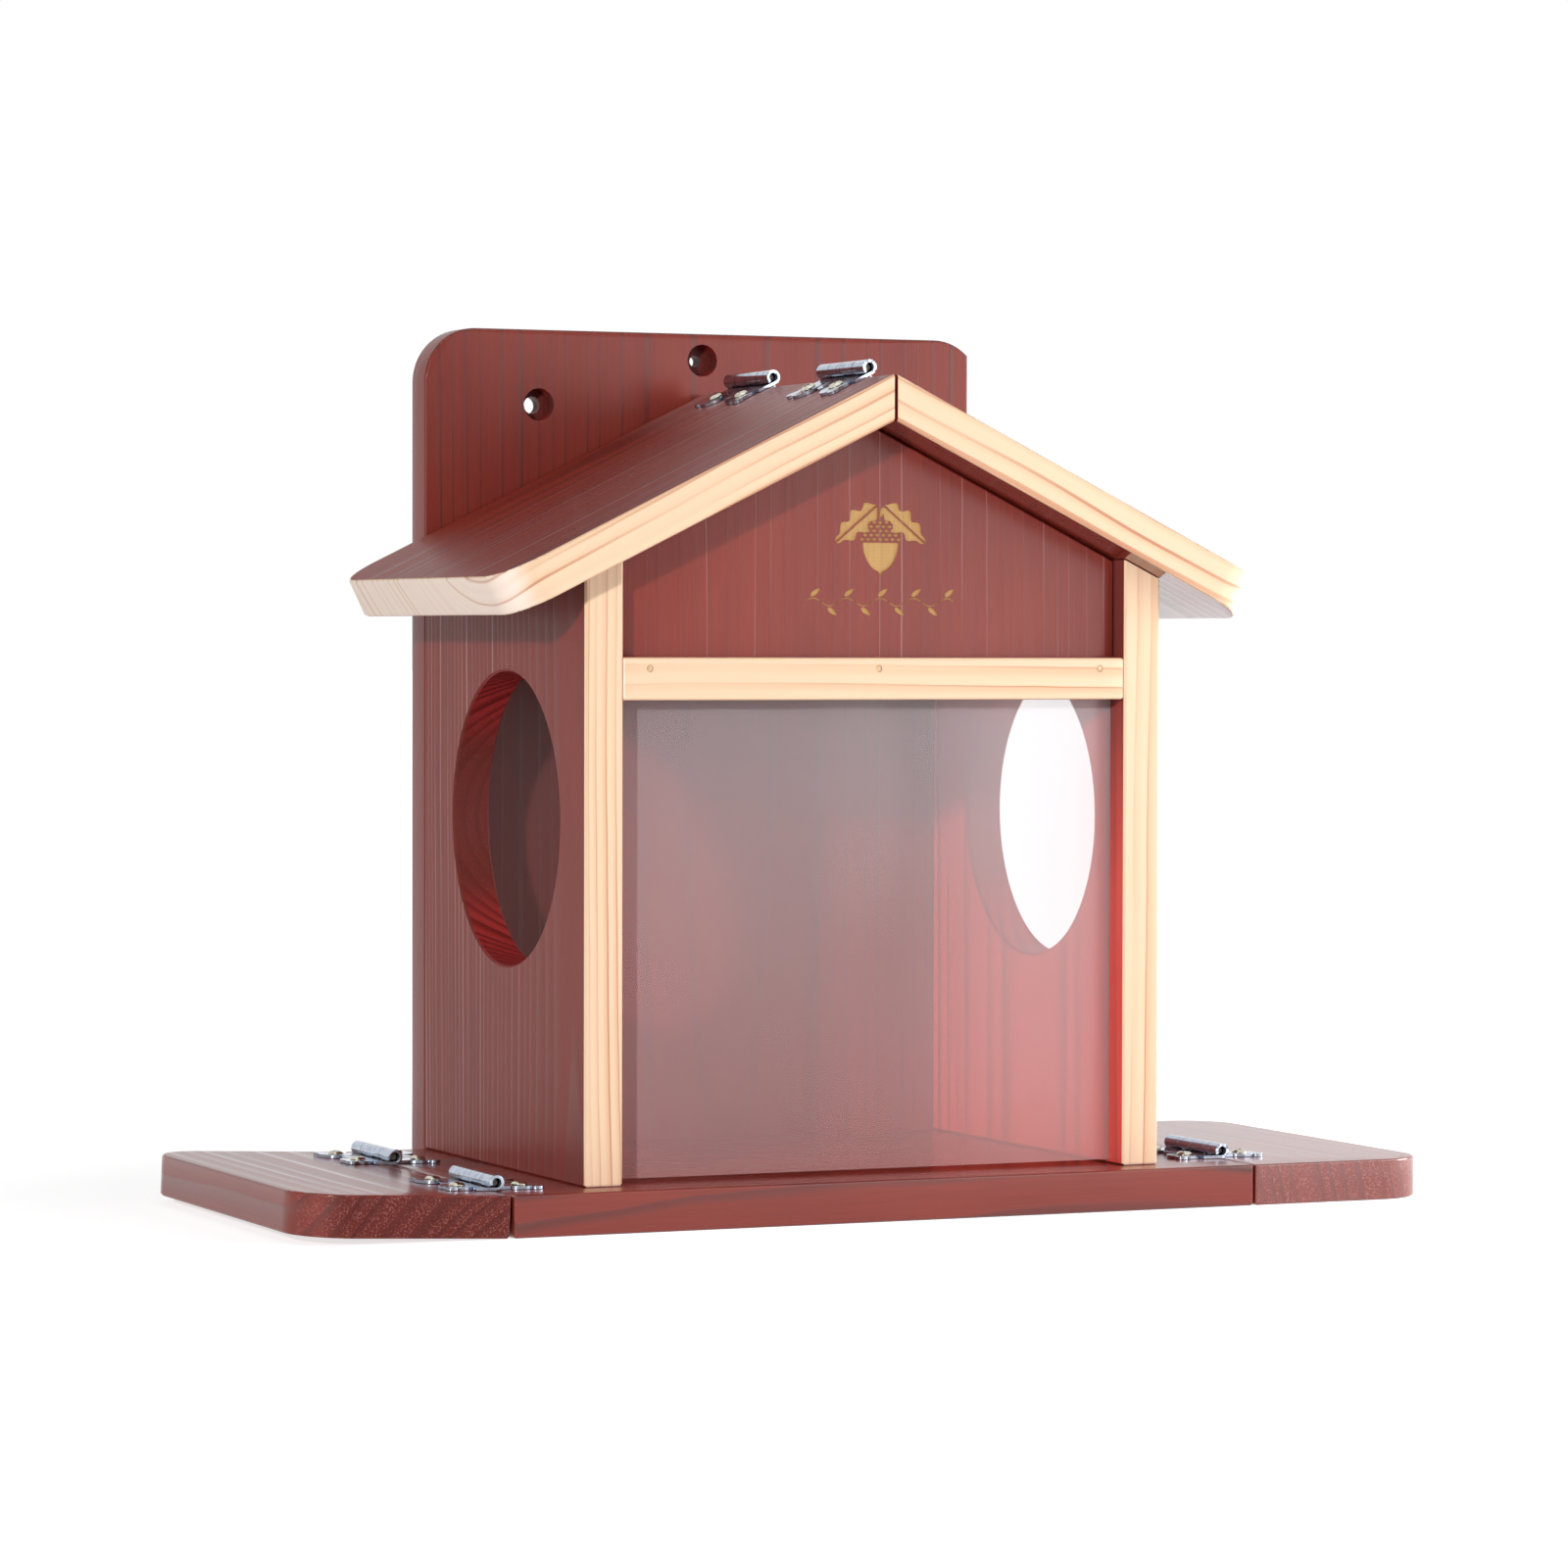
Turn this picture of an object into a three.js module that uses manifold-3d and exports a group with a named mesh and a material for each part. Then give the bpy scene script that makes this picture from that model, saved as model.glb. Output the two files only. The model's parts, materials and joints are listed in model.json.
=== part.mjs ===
// A wooden squirrel feeder box: a small gabled house of painted boards with a round way in
// through each side, a clear front pane, a hinged roof half and two fold-up side platforms.
// Millimetres, +Z up, the front faces -Y. The origin is the centre of the footprint, on the
// surface that the floor board rests on.

import * as THREE from 'three';
import { mergeVertices } from 'three/addons/utils/BufferGeometryUtils.js';
import Module from 'manifold-3d';

const wasm = await Module();
wasm.setup();

// Boards
const floorThickness = 14;
const floorLedge = 30;
const floorDepth = 165;
const wallThickness = 13.5;
const boxWidth = 212;
const wallSetBack = 14;
const backThickness = 13.5;
const backHeight = 303.5;
const backCornerRadius = 19;
const backRightCornerInset = 13.4;
const edgeEase = 0.7;
const boardCornerEase = 1;

// Side platforms
const wingLength = 71;
const wingThickness = 14;
const wingCornerRadius = 20;
const wingSeam = 0.8;
const leftWingRaisedDegrees = 2.4;

// Roof
const roofSlopeDegrees = 26;
const roofApexHeight = 282.3;
const roofThickness = 14;
const roofLength = 156.2;
const roofCornerRadius = 16;
const roofFrontSetBack = 1;
const roofRearClearance = 4;
const roofSeatGap = 0.3;
const ridgeGap = 1.2;

// Round ways in through the side walls
const entryRadius = 50;
const entryHeight = 133;
const entryFromWallFront = 72.5;

// Gable panel, rail and pane
const gableRecess = 7.8;
const gableThickness = 9;
const gableSideGap = 0.2;
const gableRoofGap = 0.6;
const railBottomHeight = 173.7;
const railHeight = 14.2;
const railThickness = 7.5;
const railSideGap = 0.2;
const railBackLap = 8;
const paneRecess = 10.6;
const paneThickness = 2.5;
const paneGrooveDepth = 4;
const paneGrooveSlack = 0.25;
const paneDrainGap = 1.4;
const paneTopGap = 0.4;

// Stepped screw holes in the back board, where the object hangs
const hangSideHoleRadius = 3.1;
const hangCentreHoleRadius = 2.1;
const hangBoreRadius = 5.8;
const hangBoreDepth = 7;
const hangHoleSpacing = 126;
const hangSideFromTop = 26.5;
const hangCentreFromTop = 9.5;

// Butterfly hinges
const hingeLength = 38;
const knuckleCount = 4;
const knuckleGap = 0.3;
const leafSheet = 1;
const leafReach = 17;
const leafSeatGap = 0.2;
const pinRadius = 1.3;
const pinClearance = 0.25;
const throatDegrees = 62;
const lobeRadius = 6.2;
const lobeSpacing = 22.6;
const lobePointRadius = 2.2;
const middleLobeRadius = 3.8;
const middleLobeReach = 12.4;
const leafNeckWidth = 31;
const leafNeckReach = 7;
const roofHingeInsets = { front: 40, rear: 40 };
const leftWingHingeInsets = { front: 33.8, rear: 34.7 };
const rightWingHingeInsets = { front: 42.5, rear: 34.7 };

// Dome headed hinge screws
const screwHeadRadius = 2.7;
const screwHeadHeight = 1.1;
const screwShankRadius = 1.25;
const screwLength = 9;
const screwTipLength = 2.4;
const screwSeatGap = 0.15;
const screwFitGap = 0.15;

// Countersunk screws up through the floor into the walls
const floorScrewHeadRadius = 3.6;
const floorScrewHeadHeight = 2.4;
const floorScrewShankRadius = 1.75;
const floorScrewLength = 32;
const floorScrewTipLength = 4;
const floorScrewSunk = 0.4;
const floorScrewEndInset = 24;

// Pins through the rail into the gable panel
const railPinRadius = 0.65;
const railPinHeadRadius = 1.1;
const railPinHeadHeight = 0.5;
const railPinLength = 14;
const railPinTipLength = 1.2;
const railPinSunk = 0.2;
const railPinFromTop = 3.7;
const railPinEndInset = 9.5;

// Facets
const overrun = 5;
const entrySides = 48;
const cornerSteps = 9;
const easeSteps = 2;
const boreSides = 16;
const screwSides = 10;
const lobeSides = 12;
const curlSteps = 9;
const weldDistance = 0.0001;

// Places worked out from the sizes above
const roofSlope = THREE.MathUtils.degToRad(roofSlopeDegrees);
const leftWingRaised = THREE.MathUtils.degToRad(leftWingRaisedDegrees);
const totalDepth = floorDepth + backThickness;
const floorWidth = boxWidth + 2 * floorLedge;
const floorFront = -totalDepth / 2;
const backFront = floorFront + floorDepth;
const floorMiddle = (floorFront + backFront) / 2;
const wallFront = floorFront + wallSetBack;
const wallDepth = backFront - wallFront;
const innerWidth = boxWidth - 2 * wallThickness;
const roofFront = floorFront + roofFrontSetBack;
const roofRear = backFront - roofRearClearance;
const roofMiddle = (roofFront + roofRear) / 2;
const roofUnderApex = roofApexHeight - roofThickness / Math.cos(roofSlope);
const underRoof = (x, gap) => roofUnderApex - Math.abs(x) * Math.tan(roofSlope) - gap / Math.cos(roofSlope);
const gableFront = wallFront + gableRecess;
const railTop = railBottomHeight + railHeight;
const gableBottom = railTop - railBackLap;
const paneFront = wallFront + paneRecess;
const paneBottom = floorThickness + paneDrainGap;
const knuckleLength = (hingeLength - (knuckleCount - 1) * knuckleGap) / knuckleCount;
const knuckleBore = pinRadius + pinClearance;
const knuckleRadius = knuckleBore + leafSheet;
const pinHeight = knuckleRadius + leafSeatGap;
const seamCentre = floorWidth / 2 + wingSeam / 2;

// Materials
const finish = (colour, roughness, metalness, opacity = 1) =>
  new THREE.MeshStandardMaterial({ color: colour, roughness, metalness, opacity, transparent: opacity < 1 });
const paintedWood = () => finish('#7a3f3c', 0.5, 0);
const bareWood = () => finish('#f1d6ab', 0.6, 0);
const clearSheet = () => finish('#c9bfc3', 0.12, 0, 0.4);
const brightMetal = () => finish('#c9ccd2', 0.22, 1);
const screwMetal = () => finish('#b9b2a0', 0.3, 1);

// Solids
function solidOf(geometry) {
  const bare = geometry.clone();
  bare.deleteAttribute('normal');
  bare.deleteAttribute('uv');
  const merged = mergeVertices(bare.index ? bare.toNonIndexed() : bare, weldDistance);
  return new wasm.Manifold(new wasm.Mesh({
    numProp: 3,
    vertProperties: new Float32Array(merged.attributes.position.array),
    triVerts: new Uint32Array(merged.index.array),
  }));
}

function geometryOf(solid) {
  const mesh = solid.getMesh();
  const geometry = new THREE.BufferGeometry();
  geometry.setAttribute('position', new THREE.BufferAttribute(new Float32Array(mesh.vertProperties), 3));
  geometry.setIndex(new THREE.BufferAttribute(new Uint32Array(mesh.triVerts), 1));
  geometry.computeVertexNormals();
  return geometry;
}

function node(name, geometry, material) {
  const mesh = new THREE.Mesh(geometry, material);
  mesh.name = name;
  return mesh;
}

// Cuts tools, given in the part's own frame, out of a mesh that is already in its place
function carve(mesh, tools) {
  mesh.updateWorldMatrix(true, false);
  const inward = mesh.matrixWorld.clone().invert();
  let solid = solidOf(mesh.geometry);
  for (const tool of tools) {
    solid = solid.subtract(solidOf(tool.clone().applyMatrix4(inward)));
  }
  mesh.geometry = geometryOf(solid);
  return mesh;
}

function blockBetween(low, high) {
  const size = high.map((value, k) => value - low[k]);
  const block = new THREE.BoxGeometry(...size);
  return block.translate(...low.map((value, k) => value + size[k] / 2));
}

// A cylinder from one end point, running its length along a unit direction
function rod(radius, length, sides, start, direction) {
  const cylinder = new THREE.CylinderGeometry(radius, radius, length, sides);
  cylinder.translate(0, length / 2, 0);
  const turn = new THREE.Quaternion().setFromUnitVectors(new THREE.Vector3(0, 1, 0), direction);
  return cylinder.applyQuaternion(turn).translate(...start);
}

// A rectangle from (x0, y0) to (x1, y1) with one radius for the corners at each end of x
function roundedOutline(x0, y0, x1, y1, startRadius, endRadius) {
  const quarter = Math.PI / 2;
  const outline = new THREE.Shape();
  outline.absarc(x0 + startRadius, y0 + startRadius, startRadius, -2 * quarter, -quarter);
  outline.absarc(x1 - endRadius, y0 + endRadius, endRadius, -quarter, 0);
  outline.absarc(x1 - endRadius, y1 - endRadius, endRadius, 0, quarter);
  outline.absarc(x0 + startRadius, y1 - startRadius, startRadius, quarter, 2 * quarter);
  return outline;
}

// A board of the outline, its faces at z = 0 and z = thickness, with eased edges
function board(outline, thickness, steps = cornerSteps) {
  const geometry = new THREE.ExtrudeGeometry(outline, {
    depth: thickness - 2 * edgeEase,
    bevelThickness: edgeEase,
    bevelSize: edgeEase,
    bevelOffset: -edgeEase,
    bevelSegments: 1,
    curveSegments: steps,
  });
  return geometry.translate(0, 0, edgeEase);
}

// A turned piece along +Z from a profile of [radius, height] pairs
function turned(profile, sides) {
  const points = profile.map(([radius, height]) => new THREE.Vector2(radius, height));
  return new THREE.LatheGeometry(points, sides).rotateX(Math.PI / 2);
}

// Hinges. Each is described in the frame of its pin, which runs along Y. The left leaf
// reaches to -X, the right one to +X, and each hangs below the pin by its knuckle radius.
// Insets are from the board's front and rear edges to the middle of the hinge. Tilts are how far
// each leaf leans down from level.
const hingePairs = [
  {
    start: 'roof',
    edges: [roofFront, roofRear],
    insets: roofHingeInsets,
    axis: [0, roofApexHeight + pinHeight / Math.cos(roofSlope)],
    tilts: { left: roofSlope, right: roofSlope },
  },
  {
    start: 'left_wing',
    edges: [floorFront, backFront],
    insets: leftWingHingeInsets,
    axis: [-seamCentre, floorThickness + pinHeight],
    tilts: { left: -leftWingRaised, right: 0 },
  },
  {
    start: 'right_wing',
    edges: [floorFront, backFront],
    insets: rightWingHingeInsets,
    axis: [seamCentre, floorThickness + pinHeight],
    tilts: { left: 0, right: 0 },
  },
];

const hinges = hingePairs.flatMap(({ start, edges, insets, axis, tilts }) => [
  {
    name: `${start}_front_hinge`,
    place: [axis[0], edges[0] + insets.front, axis[1]],
    tilts,
  },
  {
    name: `${start}_rear_hinge`,
    place: [axis[0], edges[1] - insets.rear, axis[1]],
    tilts,
  },
]);

// The frame of a leaf: at the pin, turned down to the board that it lies on
function leafFrame(hinge, side) {
  const frame = new THREE.Group();
  frame.position.set(...hinge.place);
  frame.rotation.y = side * (side < 0 ? hinge.tilts.left : hinge.tilts.right);
  frame.updateWorldMatrix(false, false);
  return frame;
}

const lobeCentreReach = leafReach - lobeRadius;
const screwPlaces = (side) => [-1, 1].map((end) => new THREE.Vector3(
  side * lobeCentreReach, end * lobeSpacing / 2, leafSheet - knuckleRadius));

// One rolled knuckle with the strip that ties it to its leaf
function knuckle(side, middle) {
  const outline = new THREE.Shape();
  const start = -Math.PI / 2;
  const sweep = 2 * Math.PI - THREE.MathUtils.degToRad(throatDegrees) - Math.PI / 2;
  outline.moveTo(leafNeckReach, -knuckleRadius);
  for (const [radius, from, to] of [[knuckleRadius, 0, 1], [knuckleBore, 1, 0]]) {
    for (let k = 0; k <= curlSteps; k += 1) {
      const share = from + (to - from) * k / curlSteps;
      const angle = start - share * (sweep + Math.PI / 2);
      outline.lineTo(radius * Math.cos(angle), radius * Math.sin(angle));
    }
  }
  outline.lineTo(leafNeckReach, -knuckleBore);
  const strip = new THREE.ExtrudeGeometry(outline, { depth: knuckleLength, bevelEnabled: false });
  strip.translate(0, 0, -knuckleLength / 2).rotateX(Math.PI / 2);
  if (side < 0) {
    strip.rotateZ(Math.PI);
  }
  return strip.translate(0, middle, 0);
}

function disc(radius, reach, along) {
  return new THREE.CylinderGeometry(radius, radius, leafSheet, lobeSides)
    .rotateX(Math.PI / 2)
    .translate(reach, along, leafSheet / 2 - knuckleRadius);
}

// A butterfly leaf: a neck with two large lobes and a small middle one, and two rolled knuckles
function leaf(side) {
  const neckStart = knuckleRadius + knuckleGap;
  const [low, high] = [side * neckStart, side * leafNeckReach].sort((a, b) => a - b);
  const neck = blockBetween(
    [low, -leafNeckWidth / 2, -knuckleRadius],
    [high, leafNeckWidth / 2, leafSheet - knuckleRadius]);
  let solid = solidOf(neck);
  const pointReach = leafReach - lobePointRadius;
  const pointAlong = (hingeLength - 2 * lobePointRadius) / 2;
  for (const end of [-1, 1]) {
    solid = solid.add(solidOf(disc(lobeRadius, side * lobeCentreReach, end * lobeSpacing / 2)));
    solid = solid.add(solidOf(disc(lobePointRadius, side * pointReach, end * pointAlong)));
  }
  const middleReach = middleLobeReach - middleLobeRadius;
  solid = solid.add(solidOf(disc(middleLobeRadius, side * middleReach, 0)));
  for (let k = side < 0 ? 0 : 1; k < knuckleCount; k += 2) {
    const middle = -hingeLength / 2 + knuckleLength / 2 + k * (knuckleLength + knuckleGap);
    solid = solid.add(solidOf(knuckle(side, middle)));
  }
  const down = new THREE.Vector3(0, 0, -1);
  for (const place of screwPlaces(side)) {
    const start = place.clone().setZ(place.z + overrun);
    const hole = rod(screwShankRadius + screwFitGap, 2 * overrun + leafSheet, screwSides, start, down);
    solid = solid.subtract(solidOf(hole));
  }
  return geometryOf(solid);
}

// The dome head rests on the leaf, and its shank runs down into the board
function hingeScrew() {
  return turned([
    [0, -screwLength],
    [screwShankRadius, screwTipLength - screwLength],
    [screwShankRadius, 0],
    [screwHeadRadius, 0],
    [screwHeadRadius * Math.cos(Math.PI / 6), screwHeadHeight * Math.sin(Math.PI / 6)],
    [screwHeadRadius * Math.cos(Math.PI / 3), screwHeadHeight * Math.sin(Math.PI / 3)],
    [0, screwHeadHeight],
  ], screwSides);
}

function hinge(hingePlace) {
  const group = new THREE.Group();
  let count = 1;
  for (const [label, side] of [['left', -1], ['right', 1]]) {
    const frame = leafFrame(hingePlace, side);
    frame.add(node(`${hingePlace.name}_${label}_leaf`, leaf(side), brightMetal()));
    for (const place of screwPlaces(side)) {
      const screw = node(`${hingePlace.name}_screw_${count}`, hingeScrew(), screwMetal());
      screw.position.copy(place).setZ(place.z + screwSeatGap);
      frame.add(screw);
      count += 1;
    }
    group.add(frame);
  }
  const pin = new THREE.CylinderGeometry(pinRadius, pinRadius, hingeLength, screwSides);
  const pinNode = node(`${hingePlace.name}_pin`, pin, brightMetal());
  pinNode.position.set(...hingePlace.place);
  group.add(pinNode);
  return group;
}

// Pilot holes, in the part's frame, for the screws of one side of the hinges named by start
function pilots(start, side) {
  const tools = [];
  for (const hingePlace of hinges.filter(({ name }) => name.startsWith(start))) {
    const frame = leafFrame(hingePlace, side);
    const length = screwLength + overrun;
    for (const place of screwPlaces(side)) {
      const hole = rod(screwShankRadius + screwFitGap, length, screwSides,
        place.clone().setZ(place.z + overrun - screwFitGap), new THREE.Vector3(0, 0, -1));
      tools.push(hole.applyMatrix4(frame.matrixWorld));
    }
  }
  return tools;
}

// Countersunk screws up through the floor
const floorScrewPlaces = [];
for (const side of [-1, 1]) {
  for (const along of [wallFront + floorScrewEndInset, backFront - floorScrewEndInset]) {
    floorScrewPlaces.push([side * (boxWidth - wallThickness) / 2, along, floorScrewSunk]);
  }
}

function floorScrewProfile(fit) {
  return [
    [0, -fit],
    [floorScrewHeadRadius + fit, -fit],
    [floorScrewHeadRadius + fit, 0],
    [floorScrewShankRadius + fit, floorScrewHeadHeight],
    [floorScrewShankRadius + fit, floorScrewLength - floorScrewTipLength],
    [0, floorScrewLength + fit],
  ];
}

function floorScrewHoles() {
  return floorScrewPlaces.map(([x, y, z]) => {
    const [, rim, ...shank] = floorScrewProfile(screwFitGap);
    const mouth = [[0, -overrun], [rim[0], -overrun]];
    return turned([...mouth, ...shank], screwSides).translate(x, y, z);
  });
}

// Rail pins, driven straight back from the rail's face
const railPinPlaces = [-1, 0, 1].map((share) => [
  share * (innerWidth / 2 - railPinEndInset), wallFront + railPinSunk, railTop - railPinFromTop]);

function railPinProfile(fit) {
  return [
    [0, -fit],
    [railPinHeadRadius + fit, -fit],
    [railPinHeadRadius + fit, railPinHeadHeight + fit],
    [railPinRadius + fit, railPinHeadHeight + fit],
    [railPinRadius + fit, railPinLength - railPinTipLength],
    [0, railPinLength + fit],
  ];
}

function railPinHoles() {
  return railPinPlaces.map(([x, y, z]) => {
    const [, rim, ...shank] = railPinProfile(screwFitGap);
    const mouth = [[0, -overrun], [rim[0], -overrun]];
    return turned([...mouth, ...shank], screwSides).rotateX(-Math.PI / 2).translate(x, y, z);
  });
}

// Everything above a roof underside, with a gap, so that a piece can be cut to the slope
function aboveRoof(side, gap) {
  const reach = roofLength;
  const block = blockBetween([-overrun, floorFront - overrun, 0], [reach, backFront + overrun, reach]);
  if (side < 0) {
    block.translate(overrun - reach, 0, 0);
  }
  block.rotateY(side * roofSlope);
  return block.translate(0, 0, underRoof(0, gap));
}

function floorBoard() {
  const outline = roundedOutline(
    -floorWidth / 2, floorFront, floorWidth / 2, backFront, boardCornerEase, boardCornerEase);
  const mesh = node('floor_board', board(outline, floorThickness, easeSteps), paintedWood());
  return carve(mesh, [...floorScrewHoles(), ...pilots('left_wing', 1), ...pilots('right_wing', -1)]);
}

// A side platform in its leaf's frame, so that it leans with the hinge that carries it
function wing(label, side) {
  const half = floorDepth / 2;
  const outline = roundedOutline(0, -half, wingLength, half, boardCornerEase, wingCornerRadius);
  const geometry = board(outline, wingThickness);
  if (side < 0) {
    geometry.rotateZ(Math.PI);
  }
  const hingePlace = hinges.find(({ name }) => name.startsWith(`${label}_wing`));
  geometry.translate(side * wingSeam / 2, floorMiddle - hingePlace.place[1], -pinHeight - wingThickness);
  const frame = leafFrame(hingePlace, side);
  const mesh = node(`${label}_wing_board`, geometry, paintedWood());
  frame.add(mesh);
  carve(mesh, pilots(`${label}_wing`, side));
  return frame;
}

// The wall's outline lies in its own plane: x runs back from the wall's front, y runs up
function sideWall(label, side) {
  const height = underRoof(innerWidth / 2, 0) - floorThickness + overrun;
  const outline = roundedOutline(0, 0, wallDepth, height, boardCornerEase, boardCornerEase);
  const entry = new THREE.Path();
  entry.absarc(entryFromWallFront, entryHeight - floorThickness, entryRadius, 0, 2 * Math.PI, true);
  outline.holes.push(entry);
  const geometry = board(outline, wallThickness, entrySides / 4);
  geometry.rotateX(Math.PI / 2).rotateZ(Math.PI / 2);
  const mesh = node(`${label}_side_wall`, geometry, paintedWood());
  mesh.position.set(side * (boxWidth - wallThickness) / 2 - wallThickness / 2, wallFront, floorThickness);
  const grooveTop = gableBottom;
  const inner = side * innerWidth / 2;
  const [low, high] = [inner - side * overrun, inner + side * paneGrooveDepth].sort((a, b) => a - b);
  const groove = blockBetween(
    [low, paneFront - paneGrooveSlack, paneBottom - paneGrooveSlack],
    [high, paneFront + paneThickness + paneGrooveSlack, grooveTop]);
  return carve(mesh, [aboveRoof(side, roofSeatGap), groove, ...floorScrewHoles()]);
}

function stepped(x, height, holeRadius) {
  const back = new THREE.Vector3(0, 1, 0);
  const front = [x, backFront - overrun, height];
  return [
    rod(holeRadius, backThickness + 2 * overrun, boreSides, front, back),
    rod(hangBoreRadius, hangBoreDepth + overrun, boreSides, front, back),
  ];
}

// The right top corner was rounded before the board was trimmed to width, so its arc stops short
function backOutline() {
  const half = boxWidth / 2;
  const quarter = Math.PI / 2;
  const trimmedStart = Math.acos(backRightCornerInset / backCornerRadius);
  const arcHeight = backHeight - backCornerRadius;
  const outline = new THREE.Shape();
  outline.absarc(-half + boardCornerEase, boardCornerEase, boardCornerEase, -2 * quarter, -quarter);
  outline.absarc(half - boardCornerEase, boardCornerEase, boardCornerEase, -quarter, 0);
  outline.absarc(half - backRightCornerInset, arcHeight, backCornerRadius, trimmedStart, quarter);
  outline.absarc(-half + backCornerRadius, arcHeight, backCornerRadius, quarter, 2 * quarter);
  return outline;
}

function backBoard() {
  const geometry = board(backOutline(), backThickness).rotateX(Math.PI / 2);
  const mesh = node('back_board', geometry, paintedWood());
  mesh.position.set(0, backFront + backThickness, 0);
  const side = hangHoleSpacing / 2;
  return carve(mesh, [
    ...stepped(-side, backHeight - hangSideFromTop, hangSideHoleRadius),
    ...stepped(side, backHeight - hangSideFromTop, hangSideHoleRadius),
    ...stepped(0, backHeight - hangCentreFromTop, hangCentreHoleRadius),
  ]);
}

function gablePanel() {
  const half = innerWidth / 2 - gableSideGap;
  const outline = new THREE.Shape([
    new THREE.Vector2(-half, gableBottom),
    new THREE.Vector2(half, gableBottom),
    new THREE.Vector2(half, underRoof(half, gableRoofGap)),
    new THREE.Vector2(0, underRoof(0, gableRoofGap)),
    new THREE.Vector2(-half, underRoof(half, gableRoofGap)),
  ]);
  const geometry = board(outline, gableThickness).rotateX(Math.PI / 2);
  const mesh = node('gable_panel', geometry, paintedWood());
  mesh.position.y = gableFront + gableThickness;
  return carve(mesh, railPinHoles());
}

function frontRail() {
  const half = innerWidth / 2 - railSideGap;
  const outline = roundedOutline(
    -half, railBottomHeight, half, railTop, boardCornerEase, boardCornerEase);
  const geometry = board(outline, railThickness, easeSteps).rotateX(Math.PI / 2);
  const mesh = node('front_rail', geometry, bareWood());
  mesh.position.y = wallFront + railThickness;
  return carve(mesh, railPinHoles());
}

// The pane stands on the closed lower ends of the wall grooves, clear of the floor
function windowPane() {
  const half = innerWidth / 2 + paneGrooveDepth - paneGrooveSlack;
  const top = gableBottom - paneTopGap;
  return node('window_pane', blockBetween(
    [-half, paneFront, paneBottom], [half, paneFront + paneThickness, top]), clearSheet());
}

function roofBoard(label, side) {
  const half = (roofRear - roofFront) / 2;
  const outline = roundedOutline(0, -half, roofLength, half, boardCornerEase, roofCornerRadius);
  const geometry = board(outline, roofThickness).translate(0, 0, -roofThickness);
  if (side < 0) {
    geometry.rotateZ(Math.PI);
  }
  const mesh = node(label, geometry, paintedWood());
  mesh.position.set(0, roofMiddle, roofApexHeight);
  mesh.rotation.y = side * roofSlope;
  const ridgeX = side * ridgeGap / 2;
  const [low, high] = [ridgeX, ridgeX - side * roofThickness].sort((a, b) => a - b);
  const ridgeCut = blockBetween(
    [low, roofFront - overrun, roofUnderApex - roofThickness],
    [high, roofRear + overrun, roofApexHeight + roofThickness]);
  return carve(mesh, [ridgeCut, ...pilots('roof', side)]);
}

function floorScrews() {
  return floorScrewPlaces.map((place, k) => {
    const screw = node(`floor_screw_${k + 1}`, turned(floorScrewProfile(0), screwSides), screwMetal());
    screw.position.set(...place);
    return screw;
  });
}

function railPins() {
  return railPinPlaces.map((place, k) => {
    const pin = turned(railPinProfile(0), screwSides).rotateX(-Math.PI / 2);
    const mesh = node(`rail_pin_${k + 1}`, pin, screwMetal());
    mesh.position.set(...place);
    return mesh;
  });
}

const feeder = new THREE.Group();
feeder.name = 'squirrel_feeder';
feeder.add(
  floorBoard(),
  wing('left', -1),
  wing('right', 1),
  sideWall('left', -1),
  sideWall('right', 1),
  backBoard(),
  gablePanel(),
  frontRail(),
  windowPane(),
  roofBoard('left_roof_board', -1),
  roofBoard('right_roof_board', 1),
  ...hinges.map(hinge),
  ...floorScrews(),
  ...railPins(),
);

export default feeder;
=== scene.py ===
import json
from math import cos, pi, radians, sin, sqrt

import bmesh
import bpy
from mathutils import Euler, Matrix, Vector

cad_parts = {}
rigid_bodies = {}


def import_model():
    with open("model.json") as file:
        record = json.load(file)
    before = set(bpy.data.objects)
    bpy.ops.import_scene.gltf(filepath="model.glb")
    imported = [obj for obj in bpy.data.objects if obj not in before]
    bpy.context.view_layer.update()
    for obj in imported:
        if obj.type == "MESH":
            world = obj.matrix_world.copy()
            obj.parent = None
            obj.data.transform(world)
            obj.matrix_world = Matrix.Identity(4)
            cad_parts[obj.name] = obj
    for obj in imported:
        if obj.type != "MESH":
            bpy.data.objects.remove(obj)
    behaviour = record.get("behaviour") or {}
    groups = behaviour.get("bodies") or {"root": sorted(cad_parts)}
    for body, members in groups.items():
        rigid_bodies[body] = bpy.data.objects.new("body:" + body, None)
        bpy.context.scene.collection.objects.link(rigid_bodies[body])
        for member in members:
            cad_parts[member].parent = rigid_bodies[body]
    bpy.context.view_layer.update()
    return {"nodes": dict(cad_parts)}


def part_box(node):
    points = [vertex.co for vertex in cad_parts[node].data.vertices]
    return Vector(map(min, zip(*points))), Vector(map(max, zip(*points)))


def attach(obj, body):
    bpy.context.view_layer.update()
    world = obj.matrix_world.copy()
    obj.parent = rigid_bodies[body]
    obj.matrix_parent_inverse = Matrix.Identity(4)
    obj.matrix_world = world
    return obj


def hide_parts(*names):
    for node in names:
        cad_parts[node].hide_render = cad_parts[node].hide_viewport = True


bl_info = {
    "name": "Squirrel feeder box",
    "version": (1, 0, 0),
    "blender": (4, 5, 0),
    "location": "3D View > Sidebar > Feeder",
    "description": "Boards with their grain, pane, hinges, screws, engraving and studio of a feeder box",
    "category": "Object",
}

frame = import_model()

MM = 0.001
X, Y, Z = (1, 0, 0), (0, 1, 0), (0, 0, 1)
BODIES = ("box", "roof_lid", "left_wing", "right_wing")
ROOF_SLOPE = radians(26)
LEFT_WING_RAISED = radians(2.4)

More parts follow.
